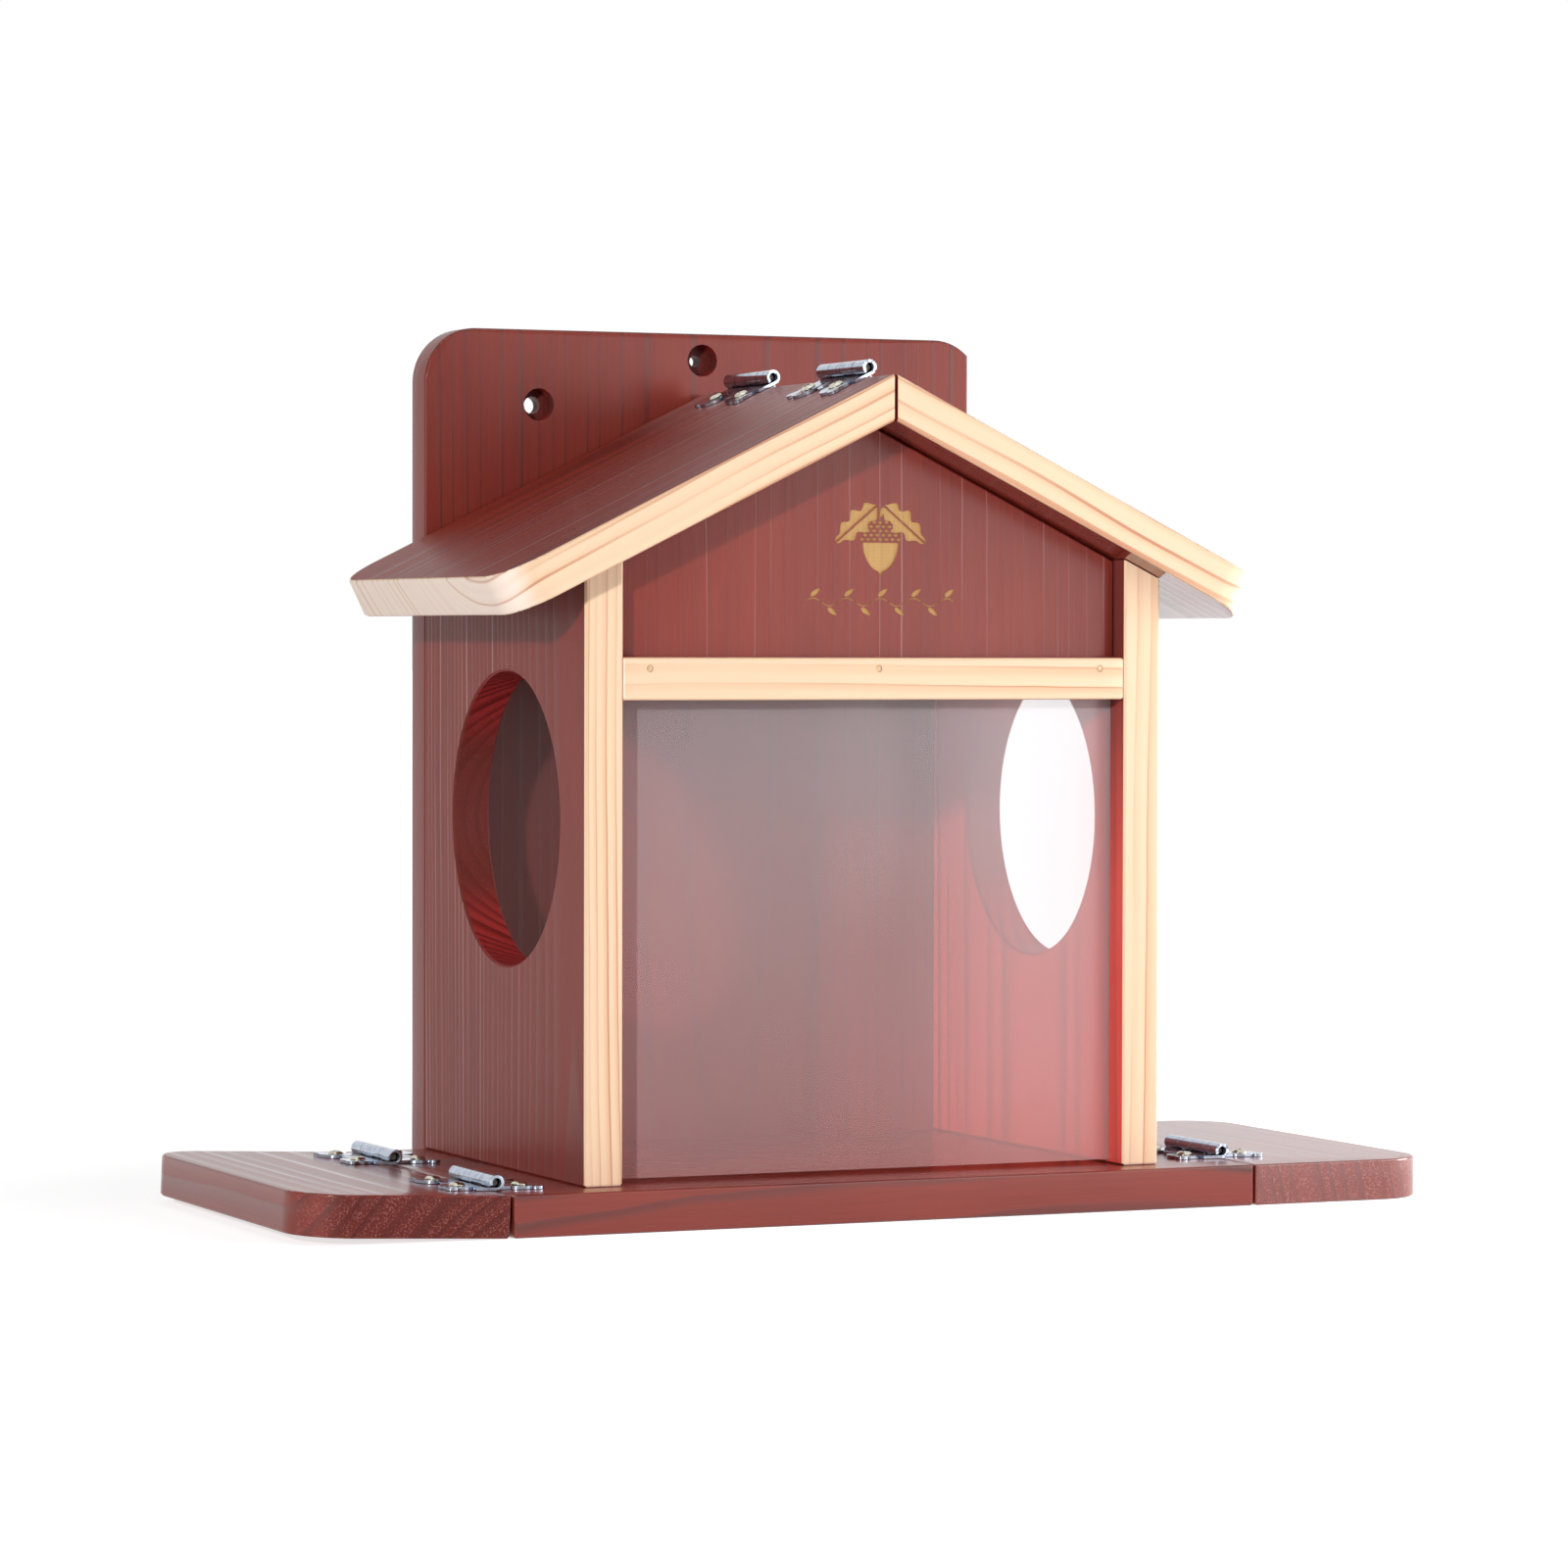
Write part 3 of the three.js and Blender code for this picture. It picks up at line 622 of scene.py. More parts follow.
class PaneSettings(bpy.types.PropertyGroup):
    # Painted light: the bloom below is tinted red, as if lit by the red walls inside
    pane_low_painted_red: colour("Bloom below", "Colour of the pane's bloom near the floor", 240, 182, 180)
    pane_high: colour("Bloom above", "Colour of the pane's bloom under the rail", 206, 198, 203)
    pane_bloom: bpy.props.FloatProperty(
        name="Bloom", description="Share of the light that the pane's bloom scatters", default=0.31, min=0,
        max=1, subtype="FACTOR")


class HingeSettings(bpy.types.PropertyGroup):
    length: number("Length", "Length of a hinge along its pin", 38 * MM, "LENGTH")
    sheet: number("Sheet", "Thickness of the leaf", 1 * MM, "LENGTH")
    barrel: number("Barrel radius", "Outer radius of a rolled knuckle", 2.55 * MM, "LENGTH")
    gap: number("Knuckle gap", "Space between two knuckles", 0.3 * MM, "LENGTH")
    reach: number("Reach", "From the pin to the edge of a lobe", 17 * MM, "LENGTH")
    lobe: number("Lobe radius", "Radius of the two large lobes", 6.2 * MM, "LENGTH")
    spacing: number("Screw spacing", "Between the two screws of a leaf", 22.6 * MM, "LENGTH")
    throat: number("Throat", "Opening left where the curl ends", radians(62), "ROTATION")
    nickel: colour("Nickel", "Colour of the hinges", 178, 188, 204)
    nickel_dull: colour("Dull nickel", "Hinges where they have dulled", 146, 152, 164)
    zinc: colour("Zinc", "Colour of the screws", 206, 202, 186)
    zinc_dull: colour("Dull zinc", "Screws where they have dulled", 168, 160, 138)


class StageSettings(bpy.types.PropertyGroup):
    heading: number(
        "Heading", "How far the camera looks to the right of straight back", radians(24.014), "ROTATION")
    pitch: number("Pitch", "How far the camera looks up", radians(-1.507), "ROTATION")
    roll: number("Roll", "How far the camera leans", radians(0.136), "ROTATION")
    distance: number("Distance", "From the camera to its target", 1.907124, "LENGTH")
    target: bpy.props.FloatVectorProperty(
        name="Target", description="What the camera looks at", default=(-0.000013, 0.00275, 0.143605),
        subtype="XYZ", unit="LENGTH")
    lens: number("Lens", "Focal length on a 36 mm frame, in millimetres", 125.854)
    key: number("Key", "Power of the front left lamp", 36.0)
    fill: number("Fill", "Power of the near right lamp", 2.7)
    top: number("Top", "Power of the lamp overhead", 2.4)
    side: number("Side", "Power of the low lamp on the right", 7.0)
    room: number("Room", "Light from all round", 0.1)
    below: number("Below", "Light that the floor gives", 0.15)


class FeederSettings(bpy.types.PropertyGroup):
    boards: bpy.props.PointerProperty(type=BoardSettings)
    pane: bpy.props.PointerProperty(type=PaneSettings)
    hinges: bpy.props.PointerProperty(type=HingeSettings)
    stage: bpy.props.PointerProperty(type=StageSettings)


# Geometry Nodes

class Shape(Tree):
    """A tree of geometry nodes in the making, with one named input for each size."""

    def __init__(self, name, sizes):
        self.tree = bpy.data.node_groups.new(name, "GeometryNodeTree")
        self.tree.is_modifier = True
        interface = self.tree.interface
        interface.new_socket("Geometry", in_out="INPUT", socket_type="NodeSocketGeometry")
        self.ids = {}
        for size in sizes:
            socket = interface.new_socket(size, in_out="INPUT", socket_type="NodeSocketFloat")
            self.ids[size] = socket.identifier
        interface.new_socket("Geometry", in_out="OUTPUT", socket_type="NodeSocketGeometry")
        self.inlet = self.tree.nodes.new("NodeGroupInput")

    def size(self, name):
        return Amount(self.tree, self.inlet.outputs[name])

    def moved(self, geometry, offset=(0, 0, 0), rotation=(0, 0, 0)):
        return self.node("GeometryNodeTransform", inputs={
            "Geometry": geometry, "Translation": offset, "Rotation": rotation}).outputs[0]

    def disc(self, radius, height, sides, offset=(0, 0, 0)):
        node = self.node("GeometryNodeMeshCylinder", {"fill_type": "NGON"}, {
            "Vertices": sides, "Side Segments": 1, "Fill Segments": 1, "Radius": radius, "Depth": height})
        return self.moved(node.outputs["Mesh"], offset)

    def block(self, x, y, z, offset):
        node = self.node("GeometryNodeMeshCube", inputs={"Size": self.vector(x, y, z)})
        return self.moved(node.outputs["Mesh"], offset)

    def joined(self, kind, socket, geometries, settings=(), inputs=()):
        """One geometry out of many that go into the same socket."""
        node = self.node(kind, settings, inputs)
        for geometry in geometries:
            self.tree.links.new(geometry, node.inputs[socket])
        return node.outputs[0]

    def together(self, *geometries):
        return self.joined("GeometryNodeJoinGeometry", 0, geometries)

    def united(self, *geometries):
        return self.joined("GeometryNodeMeshBoolean", "Mesh 2", geometries,
                           {"operation": "UNION", "solver": "MANIFOLD"})

    def cut(self, geometry, *cutters):
        return self.joined("GeometryNodeMeshBoolean", "Mesh 2", cutters,
                           {"operation": "DIFFERENCE", "solver": "MANIFOLD"}, {"Mesh 1": geometry})

    def on_points(self, geometry, material):
        """One copy at each point of the incoming mesh, turned as the point's own numbers say."""
        turn = self.node("GeometryNodeInputNamedAttribute", {"data_type": "FLOAT_VECTOR"}, {"Name": "turn"})
        copies = self.node("GeometryNodeInstanceOnPoints", inputs={
            "Points": self.inlet.outputs["Geometry"], "Instance": geometry,
            "Rotation": turn.outputs[0]}).outputs[0]
        real = self.node("GeometryNodeRealizeInstances", inputs={"Geometry": copies}).outputs[0]
        finished = self.node("GeometryNodeSetMaterial", inputs={"Geometry": real, "Material": material})
        outlet = self.tree.nodes.new("NodeGroupOutput")
        self.tree.links.new(finished.outputs[0], outlet.inputs[0])
        return self


def make_copies(name, shape, sizes, places, ease=0.0):
    """The shape at each place, given as its position and its turn, as one plain mesh."""
    mesh = bpy.data.meshes.new(name)
    mesh.from_pydata([tuple(place) for place, _ in places], [], [])
    turns = mesh.attributes.new("turn", "FLOAT_VECTOR", "POINT")
    for entry, (_, turn) in zip(turns.data, places):
        entry.vector = tuple(turn)
    piece = new_object(name, mesh)
    modifier = piece.modifiers.new("copies", "NODES")
    modifier.node_group = shape.tree
    for label, value in sizes.items():
        modifier[shape.ids[label]] = value
    if ease:
        rounding = piece.modifiers.new("ease", "BEVEL")
        rounding.width = ease
        rounding.segments = 2
        rounding.limit_method = "ANGLE"
        rounding.angle_limit = radians(50)
    return evaluated(piece, name)


LEAF_SIZES = ("Length", "Sheet", "Barrel", "Gap", "Reach", "Lobe", "Spacing", "Throat")


def leaf_shape(material):
    """A butterfly leaf that reaches to -X from its pin, with two rolled knuckles on the pin."""
    shape = Shape("hinge leaf", LEAF_SIZES)
    length, sheet, barrel, gap, reach, lobe, spacing, throat = map(shape.size, LEAF_SIZES)
    level = sheet / 2 - barrel
    neck_start = barrel + gap
    neck_end = reach * 0.42
    hinge_plate = [shape.block(neck_end - neck_start, length * 0.81, sheet,
                               shape.vector(-0.5 * (neck_start + neck_end), 0.0, level))]
    tip = lobe * 0.36
    for end in (-0.5, 0.5):
        hinge_plate.append(shape.disc(lobe, sheet, 40, shape.vector(lobe - reach, spacing * end, level)))
        hinge_plate.append(shape.disc(tip, sheet, 24, shape.vector(
            tip - reach, (length - 2 * tip) * end, level)))
    middle = lobe * 0.6
    hinge_plate.append(shape.disc(middle, sheet, 32, shape.vector(middle - reach * 0.73, 0.0, level)))
    knuckle = (length - 3 * gap) / 4
    arc = shape.node("GeometryNodeCurveArc", {"mode": "RADIUS"}, {
        "Resolution": 30, "Radius": barrel - sheet / 2, "Start Angle": -0.5 * pi,
        "Sweep Angle": 2 * pi - throat})
    standing = shape.moved(arc.outputs["Curve"], rotation=(pi / 2, 0, 0))
    section = shape.node("GeometryNodeCurvePrimitiveQuadrilateral", {"mode": "RECTANGLE"}, {
        "Width": knuckle, "Height": sheet})
    curl = shape.node("GeometryNodeCurveToMesh", inputs={
        "Curve": standing, "Profile Curve": section.outputs[0], "Fill Caps": True})
    for place in (0, 2):
        along = -0.5 * length + knuckle * 0.5 + place * (knuckle + gap)
        hinge_plate.append(shape.moved(curl.outputs[0], shape.vector(y=along)))
        hinge_plate.append(shape.block(
            neck_end, knuckle, sheet, shape.vector(-0.5 * neck_end, along, level)))
    plate = shape.united(*hinge_plate)
    holes = [shape.disc(sheet * 1.4, sheet * 6, 24, shape.vector(lobe - reach, spacing * end, level))
             for end in (-0.5, 0.5)]
    return shape.on_points(shape.cut(plate, *holes), material)


def screw_shape(name, material, sides=28, recess=True):
    """A domed or flat head with a cross cut into it, on a pointed shank that runs down."""
    shape = Shape(name, HINGE_SCREW)
    head, rise, shank, length = map(shape.size, HINGE_SCREW)
    dome = shape.node("GeometryNodeMeshCylinder", {"fill_type": "TRIANGLE_FAN"}, {
        "Vertices": sides, "Side Segments": 1, "Fill Segments": 5, "Radius": head, "Depth": rise})
    lifted = shape.moved(dome.outputs["Mesh"], shape.vector(z=rise * 0.5))
    position = shape.node("GeometryNodeInputPosition").outputs[0]
    parts = shape.node("ShaderNodeSeparateXYZ", inputs={0: position})
    x, y, z = (Amount(shape.tree, parts.outputs[k]) for k in range(3))
    inside = (1 - (x * x + y * y) / (head * head)).between().sqrt()
    up = z.work("GREATER_THAN", z, rise * 0.5)
    height = rise * (0.16 + 0.84 * inside) - z
    domed = shape.node("GeometryNodeSetPosition", inputs={
        "Geometry": lifted, "Offset": shape.vector(z=height * up)}).outputs[0]
    if recess:
        arm = head * 0.26
        slots = [shape.block(x, y, rise, shape.vector(z=rise * 1.02))
                 for x, y in ((head * 1.05, arm), (arm, head * 1.05))]
        domed = shape.cut(domed, shape.united(*slots))
    rod = shape.node("GeometryNodeMeshCone", {"fill_type": "NGON"}, {
        "Vertices": 14, "Radius Top": shank * 0.3, "Radius Bottom": shank, "Depth": length})
    point = shape.moved(rod.outputs["Mesh"], rotation=(pi, 0, 0))
    return shape.on_points(shape.together(domed, point), material)


# Hinges

def hinge_list():
    """Name, middle of the pin, and for each leaf its body and its turn."""
    found = []
    for start, (left, right, left_tilt, right_tilt) in {
            "roof": ("box", "roof_lid", ROOF_SLOPE, ROOF_SLOPE),
            "left_wing": ("left_wing", "box", -LEFT_WING_RAISED, 0.0),
            "right_wing": ("box", "right_wing", 0.0, 0.0)}.items():
        for end in ("front", "rear"):
            name = f"{start}_{end}_hinge"
            found.append((name, centre_of(name + "_pin"), {
                "left": (left, Euler((0, -left_tilt, 0))),
                "right": (right, Euler((0, -right_tilt, pi)))}))
    return found


HINGES = hinge_list()


def leaves_of(body):
    """Each leaf that a body carries: its hinge, its side, the middle of its pin, and its turn."""
    return [(name, side, middle, leaves[side][1]) for name, middle, leaves in HINGES
            for side in ("left", "right") if leaves[side][0] == body]


def settings():
    return bpy.context.scene.feeder_box


# Operators

class FEEDER_OT_boards(bpy.types.Operator):
    """Floor, platforms, back board and side walls, with stain and grain"""
    bl_idname = "feeder.boards"
    bl_label = "Boards"

    def execute(self, context):
        colours = settings().boards
        for node, body in (("floor_board", "box"), ("back_board", "box"),
                           ("left_wing_board", "left_wing"), ("right_wing_board", "right_wing")):
            along = Vector(BOARDS[node]["along"])
            piece = board_piece(node, stained(node, colours, "paint", "ends", "bore"))
            for face in piece.data.polygons:
                # The bore look, with its painted shade, in the hanging holes
                if node == "back_board" and self.in_hanging_hole(face.center):
                    face.material_index = 2
                elif abs(face.normal.dot(along)) > 0.4:
                    face.material_index = 1
            complete(piece, body, "painted_wood", node)
        for node, side in (("left_side_wall", -1), ("right_side_wall", 1)):
            # The inside look paints light on the inner faces, and the bore look paints shade in the round way
            # in
            paint, inside, bore = stained(node, colours, "paint", "inside", "bore")
            wood = bare_wood(node + "_wood", BOARDS[node], colours)
            piece = board_piece(node, [paint, wood, inside, bore], [(0, ENTRY, ENTRY_RADII)])
            bare_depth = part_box(node)[0][1] + 1.2 * MM
            for face in piece.data.polygons:
                if face.normal.y < -0.6 and face.center.y < bare_depth:
                    face.material_index = 1
                elif face.normal.x * side < -0.9:
                    face.material_index = 2
                elif self.in_entry(face):
                    face.material_index = 3
            complete(piece, "box", "painted_wood", node, angle=40)
        return {"FINISHED"}

    def in_hanging_hole(self, spot):
        return min(Vector((spot.x - x, spot.z - z)).length for x, z in HANGING_HOLES) < HANGING_REACH

    def in_entry(self, face):
        """True on the bore and the rims of the round way in."""
        away = Vector((face.center.y - ENTRY[0], face.center.z - ENTRY[1])).length
        return abs(face.normal.x) < 0.8 and away < ENTRY_REACH


class FEEDER_OT_roof(bpy.types.Operator):
    """Two roof boards, painted on top and below and bare at their edges"""
    bl_idname = "feeder.roof"
    bl_label = "Roof"

    def execute(self, context):
        colours = settings().boards
        for node, side, body in (("left_roof_board", -1, "box"), ("right_roof_board", 1, "roof_lid")):
            board = BOARDS[node]
            through = Vector(slope_direction(side)).cross(Vector(Y))
            piece = board_piece(node, [
                painted_wood(node + "_paint", board, colours),
                bare_wood(node + "_wood", {**board, **ROOF_EDGE}, colours),
                painted_wood(node + "_under", {**board, **board["under"]}, colours)])
            for face in piece.data.polygons:
                if abs(face.normal.dot(through)) < 0.75 and face.normal.x * side > -0.95:
                    face.material_index = 1
                elif face.normal.z < -0.5:
                    face.material_index = 2
            complete(piece, body, "painted_wood", node)
        return {"FINISHED"}


def leaf_halves(stem, tip, width, lobes, rib):
    """The two halves of a lobed leaf from its stem to its tip, apart by the width of its rib."""
    stem, tip = Vector(stem), Vector(tip)
    ahead = (tip - stem).normalized()
    aside = Vector((-ahead.y, ahead.x))
    length = (tip - stem).length
    halves = []
    for side in (-1, 1):
        points = []
        for k in range(25):
            share = k / 24
            bulge = sin(pi * share ** 0.8) ** 0.6 * (1 - 0.3 * cos(2 * pi * lobes * share))
            reach = max(width * bulge, rib * 1.5)
            points.append(stem + ahead * length * share + aside * side * reach)
        points += [stem + ahead * length * share + aside * side * rib for share in (1.0, 0.0)]
        halves.append(points if side < 0 else points[::-1])
    return halves


def acorn_outlines(middle, size):
    """An acorn that hangs between two oak leaves, as flat outlines."""
    x, z = middle
    nut = [(x + 0.29 * size * cos(a) * (1 + 0.06 * sin(a)), z + 0.02 * size + 0.42 * size * sin(a))
           for a in (pi + pi * k / 22 for k in range(23))]
    nut[len(nut) // 2] = (x, z - 0.47 * size)
    stem = [(x + across * size, z + up * size) for across, up in (
        (-0.03, 0.4), (0.035, 0.4), (0.085, 0.53), (0.02, 0.54))]
    outlines = [nut, stem]
    rows, step, rise = 5, 0.098 * size, 0.052 * size
    for row in range(rows):
        level = z + (0.07 + 0.062 * row) * size
        half = 0.35 * size * sqrt(max(0.0, 1 - ((row + 0.2) / (rows + 0.2)) ** 2))
        count = int(half / step + 0.5)
        for k in range(-count, count + 1):
            scale = x + (k + 0.5 * (row % 2)) * step
            if abs(scale - x) <= half:
                outlines.append([(scale, level - rise * 0.55), (scale + step * 0.42, level),
                                 (scale, level + rise * 0.55), (scale - step * 0.42, level)])
    for side in (-1, 1):
        outlines += leaf_halves((x + side * 0.06 * size, z + 0.56 * size),
                                (x + side * 0.72 * size, z + 0.02 * size), 0.16 * size, 3.5, 0.012 * size)
    return outlines


def twig_outlines(start, length, wave, leaves):
    """A wavy twig that runs to the right of its start, with a small leaf at each bend."""
    x0, z0 = start
    pieces, half = 12, 0.22
    outlines = []

    def spot(share):
        return x0 + length * share, z0 + wave * sin(pi * leaves * share)

    for k in range(pieces * leaves):
        if k % pieces < pieces - 1:
            (xa, za), (xb, zb) = spot(k / (pieces * leaves)), spot((k + 1) / (pieces * leaves))
            outlines.append([(xa, za - half), (xb, zb - half), (xb, zb + half), (xa, za + half)])
    for k in range(leaves):
        up = 1 if k % 2 == 0 else -1
        x, z = spot((k + 0.5) / leaves)
        points = []
        for j in range(14):
            turn = 2 * pi * j / 14
            along, aside = 2.1 * cos(turn), 0.8 * sin(turn) * (1 - 0.3 * cos(turn))
            points.append((x + 0.9 + along * 0.8 - aside * 0.6 * up,
                           z + up * (1.9 + along * 0.6) + aside * 0.8))
        outlines.append(points)
    return outlines


class FEEDER_OT_gable(bpy.types.Operator):
    """Gable panel with an acorn, two oak leaves and a twig engraved in it"""
    bl_idname = "feeder.gable"
    bl_label = "Gable"

    def cutter(self, outlines, front, finish):
        """The outlines, in millimetres on the gable's face, as solids that reach into it."""
        work = bmesh.new()
        for outline in outlines:
            near, far = ([work.verts.new((x * MM, y, z * MM)) for x, z in outline]
                         for y in (front - 1 * MM, front + ENGRAVING_DEPTH))
            work.faces.new(near)
            work.faces.new(far[::-1])
            for k in range(len(outline)):
                j = (k + 1) % len(outline)
                work.faces.new((near[j], near[k], far[k], far[j]))
        bmesh.ops.recalc_face_normals(work, faces=work.faces)
        mesh = bpy.data.meshes.new("engraving_cutter")
        work.to_mesh(mesh)
        work.free()
        mesh.materials.append(finish)
        return new_object("engraving_cutter", mesh)

    def execute(self, context):
        colours = settings().boards
        uncut = board_piece("gable_panel", stained("gable_panel", colours, "paint"))
        outlines = acorn_outlines(**ACORN) + twig_outlines(**TWIG)
        tool = self.cutter(outlines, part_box("gable_panel")[0][1],
                           engraved_wood("gable_panel_engraved", BOARDS["gable_panel"], colours))
        modifier = uncut.modifiers.new("engraving", "BOOLEAN")
        modifier.object = tool
        modifier.solver = "EXACT"
        modifier.use_self = True
        modifier.material_mode = "TRANSFER"
        piece = evaluated(uncut, "gable_panel_dressed")
        bpy.data.objects.remove(tool)
        complete(piece, "box", "painted_wood", "gable_panel")
        return {"FINISHED"}


class FEEDER_OT_rail(bpy.types.Operator):
    """Bare rail over the pane"""
    bl_idname = "feeder.rail"
    bl_label = "Rail"

    def execute(self, context):
        wood = bare_wood("front_rail_wood", BOARDS["front_rail"], settings().boards)
        piece = board_piece("front_rail", [wood])
        complete(piece, "box", "natural_wood", "front_rail")
        return {"FINISHED"}


class FEEDER_OT_pane(bpy.types.Operator):
    """Clear pane in the wall grooves"""
    bl_idname = "feeder.pane"
    bl_label = "Pane"

    def execute(self, context):
        low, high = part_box("window_pane")
        finish = clear_sheet("clear_pane_sheet", settings().pane, low, high)
        piece = board_piece("window_pane", [finish])
        complete(piece, "box", "clear_pane", "window_pane", angle=30)
        return {"FINISHED"}


class FEEDER_OT_hinges(bpy.types.Operator):
    """Six butterfly hinges: leaves with rolled knuckles, and pins"""
    bl_idname = "feeder.hinges"
    bl_label = "Hinges"

    def execute(self, context):
        sizes = settings().hinges
        shape = leaf_shape(plated_metal("hinge_nickel", sizes.nickel, sizes.nickel_dull, 0.12))
        values = {label: getattr(sizes, label.lower()) for label in LEAF_SIZES}
        for body in BODIES:
            leaves = leaves_of(body)
            places = [(middle, turn) for _, _, middle, turn in leaves]
            piece = make_copies(f"hinge_leaves_{body}", shape, values, places, LEAF_EASE)
            nodes = [f"{name}_{side}_leaf" for name, side, _, _ in leaves]
            complete(piece, body, "bright_nickel", *nodes, angle=35)
        pin = Shape("hinge pin", ("Length", "Radius"))
        rod = pin.disc(pin.size("Radius"), pin.size("Length"), 24)
        lying = pin.moved(rod, rotation=(pi / 2, 0, 0))
        pin.on_points(lying, plated_metal("pin_steel", srgb(92, 88, 82), srgb(64, 60, 56), 0.4))
        piece = make_copies("hinge_pins", pin, {"Length": sizes.length - PIN_SHORTER, "Radius": PIN_RADIUS},
                            [(middle, (0, 0, 0)) for _, middle, _ in HINGES], PIN_EASE)
        complete(piece, "box", "bright_nickel", *(name + "_pin" for name, _, _ in HINGES))
        return {"FINISHED"}


class FEEDER_OT_screws(bpy.types.Operator):
    """Hinge screws, floor screws and the pins of the rail"""
    bl_idname = "feeder.screws"
    bl_label = "Screws"

    def execute(self, context):
        sizes = settings().hinges
        zinc = plated_metal("screw_zinc", sizes.zinc, sizes.zinc_dull, 0.16)
        shape = screw_shape("domed screw", zinc)
        reach = sizes.reach - sizes.lobe
        level = sizes.sheet - sizes.barrel + HINGE_SCREW_PROUD
        for body in BODIES:
            places, nodes = [], []
            for name, side, middle, turn in leaves_of(body):
                ends, first = ((-0.5, 0.5), 1) if side == "left" else ((0.5, -0.5), 3)
                for k, end in enumerate(ends):
                    place = middle + turn.to_matrix() @ Vector((-reach, sizes.spacing * end, level))
                    spin = Euler((0, 0, 0.7 * len(places) + middle.y * 40)).to_matrix()
                    places.append((place, (turn.to_matrix() @ spin).to_euler()))
                    nodes.append(f"{name}_screw_{first + k}")
            piece = make_copies(f"hinge_screws_{body}", shape, HINGE_SCREW, places)
            complete(piece, body, "screw_steel", *nodes, angle=40)
        nodes = [f"floor_screw_{k}" for k in range(1, 5)]
        places = [(self.at_low_side(node, 2, FLOOR_SCREW_SUNK), (pi, 0, 0.5 * k))
                  for k, node in enumerate(nodes, 1)]
        piece = make_copies("floor_screws_dressed", shape, FLOOR_SCREW, places)
        complete(piece, "box", "screw_steel", *nodes, angle=40)
        nodes = [f"rail_pin_{k}" for k in range(1, 4)]
        places = [(self.at_low_side(node, 1, RAIL_PIN_SUNK), (pi / 2, 0, 0)) for node in nodes]
        dull = plated_metal("rail_pin_steel", srgb(196, 166, 132), srgb(130, 104, 80), 0.5)
        piece = make_copies("rail_pins_dressed", screw_shape("rail pin", dull, 20, False), RAIL_PIN, places)
        complete(piece, "box", "screw_steel", *nodes, angle=40)
        return {"FINISHED"}

    def at_low_side(self, node, axis, depth):
        """The middle of a node's box, moved along an axis to a depth inside its low side."""
        place = centre_of(node)
        place[axis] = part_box(node)[0][axis] + depth
        return place


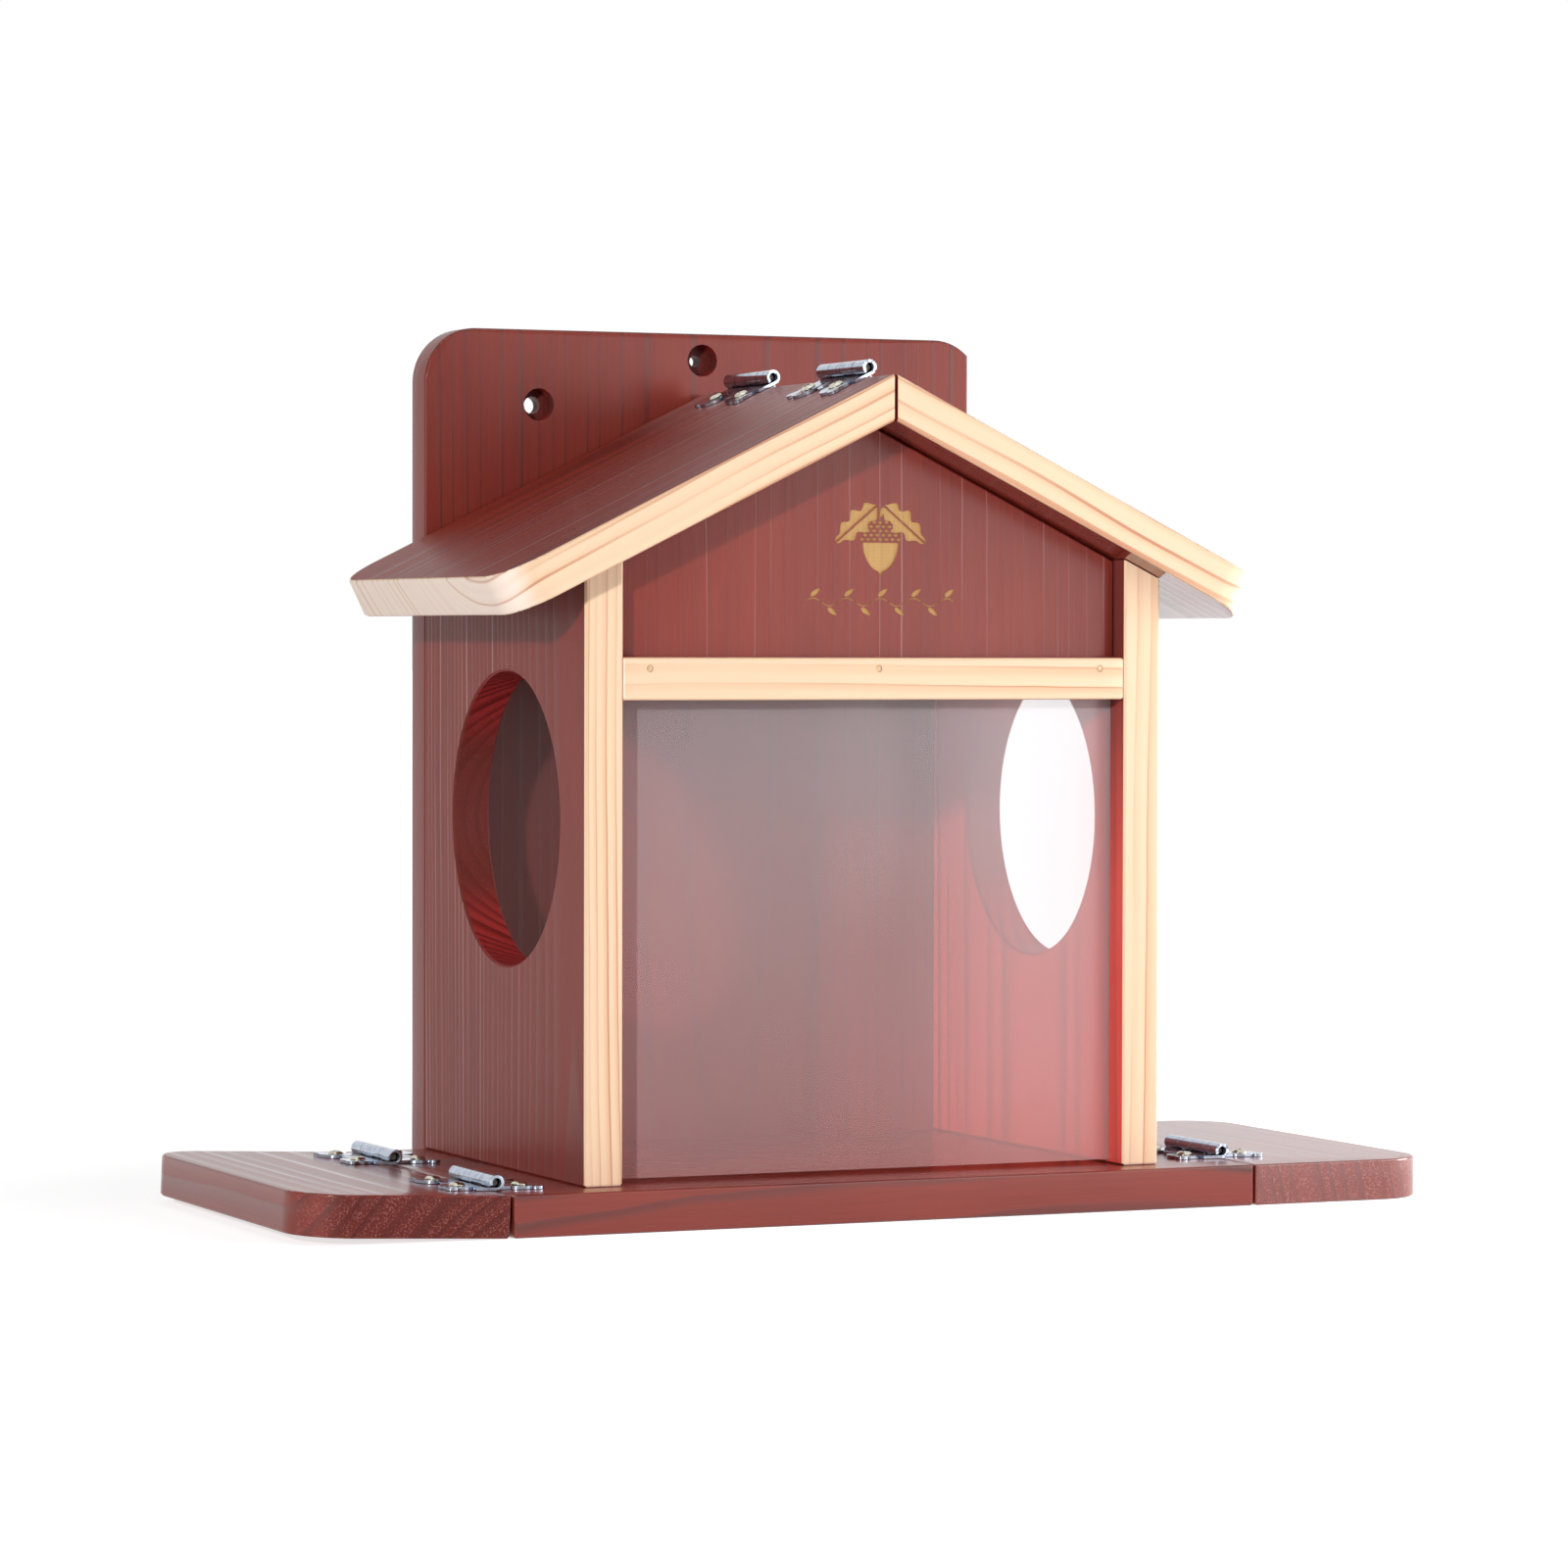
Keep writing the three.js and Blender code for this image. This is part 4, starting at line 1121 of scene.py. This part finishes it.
class FEEDER_OT_stage(bpy.types.Operator):
    """White floor, soft lamps and the camera"""
    bl_idname = "feeder.stage"
    bl_label = "Stage"

    def execute(self, context):
        stage = settings().stage
        self.floor(stage)
        self.room(stage)
        self.camera(stage)
        for name, heading, height, distance, size in LAMPS:
            self.lamp(name + "_lamp", Vector(stage.target), radians(heading), radians(height), distance, size,
                      getattr(stage, name))
        context.scene.view_settings.view_transform = "Standard"
        return {"FINISHED"}

    def floor(self, stage):
        """A floor that is white to the eye, dim as a source of light, and clear from below."""
        half, level = 30, -0.1 * MM
        mesh = bpy.data.meshes.new("floor")
        corners = ((-half, -half), (half, -half), (half, half), (-half, half))
        mesh.from_pydata([(x, y, level) for x, y in corners], [], [(0, 1, 2, 3)])
        floor = new_object("studio_floor", mesh)
        finish = Finish("studio_floor_paint")
        spot = finish.place()
        across, back = (finish.along(spot, direction) for direction in ((MM, 0, 0), (0, MM, 0)))
        away = (across ** 2.0 + back ** 2.0).sqrt().step(0.24, 0.55)
        glow = stage.below + seen_ray(finish.tree) * (0.56 + 0.5 * away)
        shader = finish.surface(
            Base_Color=srgb(216, 216, 216), Roughness=0.9, Specular_IOR_Level=0.0, Emission_Color=(1, 1, 1),
            Emission_Strength=glow)
        behind = finish.node("ShaderNodeNewGeometry").outputs["Backfacing"]
        mesh.materials.append(finish.done(finish.mixed(behind, shader, finish.clear())))

    def room(self, stage):
        world = bpy.data.worlds.new("studio_room")
        bpy.context.scene.world = world
        world.use_nodes = True
        tree = world.node_tree
        tree.nodes.clear()
        strength = stage.room + seen_ray(tree) * (1 - stage.room)
        sky = add(tree, "ShaderNodeBackground", inputs={"Color": (1, 1, 1), "Strength": strength})
        add(tree, "ShaderNodeOutputWorld", inputs={"Surface": sky.outputs[0]})

    def lamp(self, name, target, heading, height, distance, size, power):
        """A square soft lamp that looks at the target from a heading and a height."""
        towards = Vector((sin(heading) * cos(height), -cos(heading) * cos(height), sin(height)))
        data = bpy.data.lights.new(name, "AREA")
        data.size = size
        data.energy = power
        lamp = new_object(name, data)
        lamp.location = target + towards * distance
        lamp.rotation_euler = towards.to_track_quat("Z", "Y").to_euler()

    def camera(self, stage):
        heading, pitch, roll = stage.heading, stage.pitch, stage.roll
        ahead = Vector((sin(heading) * cos(pitch), cos(heading) * cos(pitch), sin(pitch)))
        right = Vector((cos(heading), -sin(heading), 0))
        up = right.cross(ahead)
        leaned_right = right * cos(roll) + up * sin(roll)
        leaned_up = up * cos(roll) - right * sin(roll)
        turn = Matrix((leaned_right, leaned_up, -ahead)).transposed()
        data = bpy.data.cameras.new("photo_camera")
        data.lens = stage.lens
        data.sensor_width = 36
        data.sensor_fit = "HORIZONTAL"
        camera = new_object("photo_camera", data)
        spot = Vector(stage.target) - ahead * stage.distance
        camera.matrix_world = Matrix.Translation(spot) @ turn.to_4x4()
        bpy.context.scene.camera = camera


OPERATORS = (FEEDER_OT_stage, FEEDER_OT_boards, FEEDER_OT_roof, FEEDER_OT_gable, FEEDER_OT_rail,
             FEEDER_OT_pane, FEEDER_OT_hinges, FEEDER_OT_screws)


class FEEDER_PT_panel(bpy.types.Panel):
    """The feeder's pieces, in the order in which they are made"""
    bl_label = "Squirrel feeder box"
    bl_idname = "FEEDER_PT_panel"
    bl_space_type = "VIEW_3D"
    bl_region_type = "UI"
    bl_category = "Feeder"

    def draw(self, context):
        layout = self.layout
        for operator in OPERATORS:
            layout.operator(operator.bl_idname)
        for group in (settings().boards, settings().pane, settings().hinges, settings().stage):
            box = layout.box()
            for name in group.__annotations__:
                box.prop(group, name)


CLASSES = (BoardSettings, PaneSettings, HingeSettings, StageSettings, FeederSettings, *OPERATORS,
           FEEDER_PT_panel)


def register():
    for cls in CLASSES:
        bpy.utils.register_class(cls)
    bpy.types.Scene.feeder_box = bpy.props.PointerProperty(type=FeederSettings)


def unregister():
    del bpy.types.Scene.feeder_box
    for cls in reversed(CLASSES):
        bpy.utils.unregister_class(cls)


def main():
    register()
    for operator in OPERATORS:
        group, name = operator.bl_idname.split(".")
        getattr(getattr(bpy.ops, group), name)()


if __name__ == "__main__":
    main()
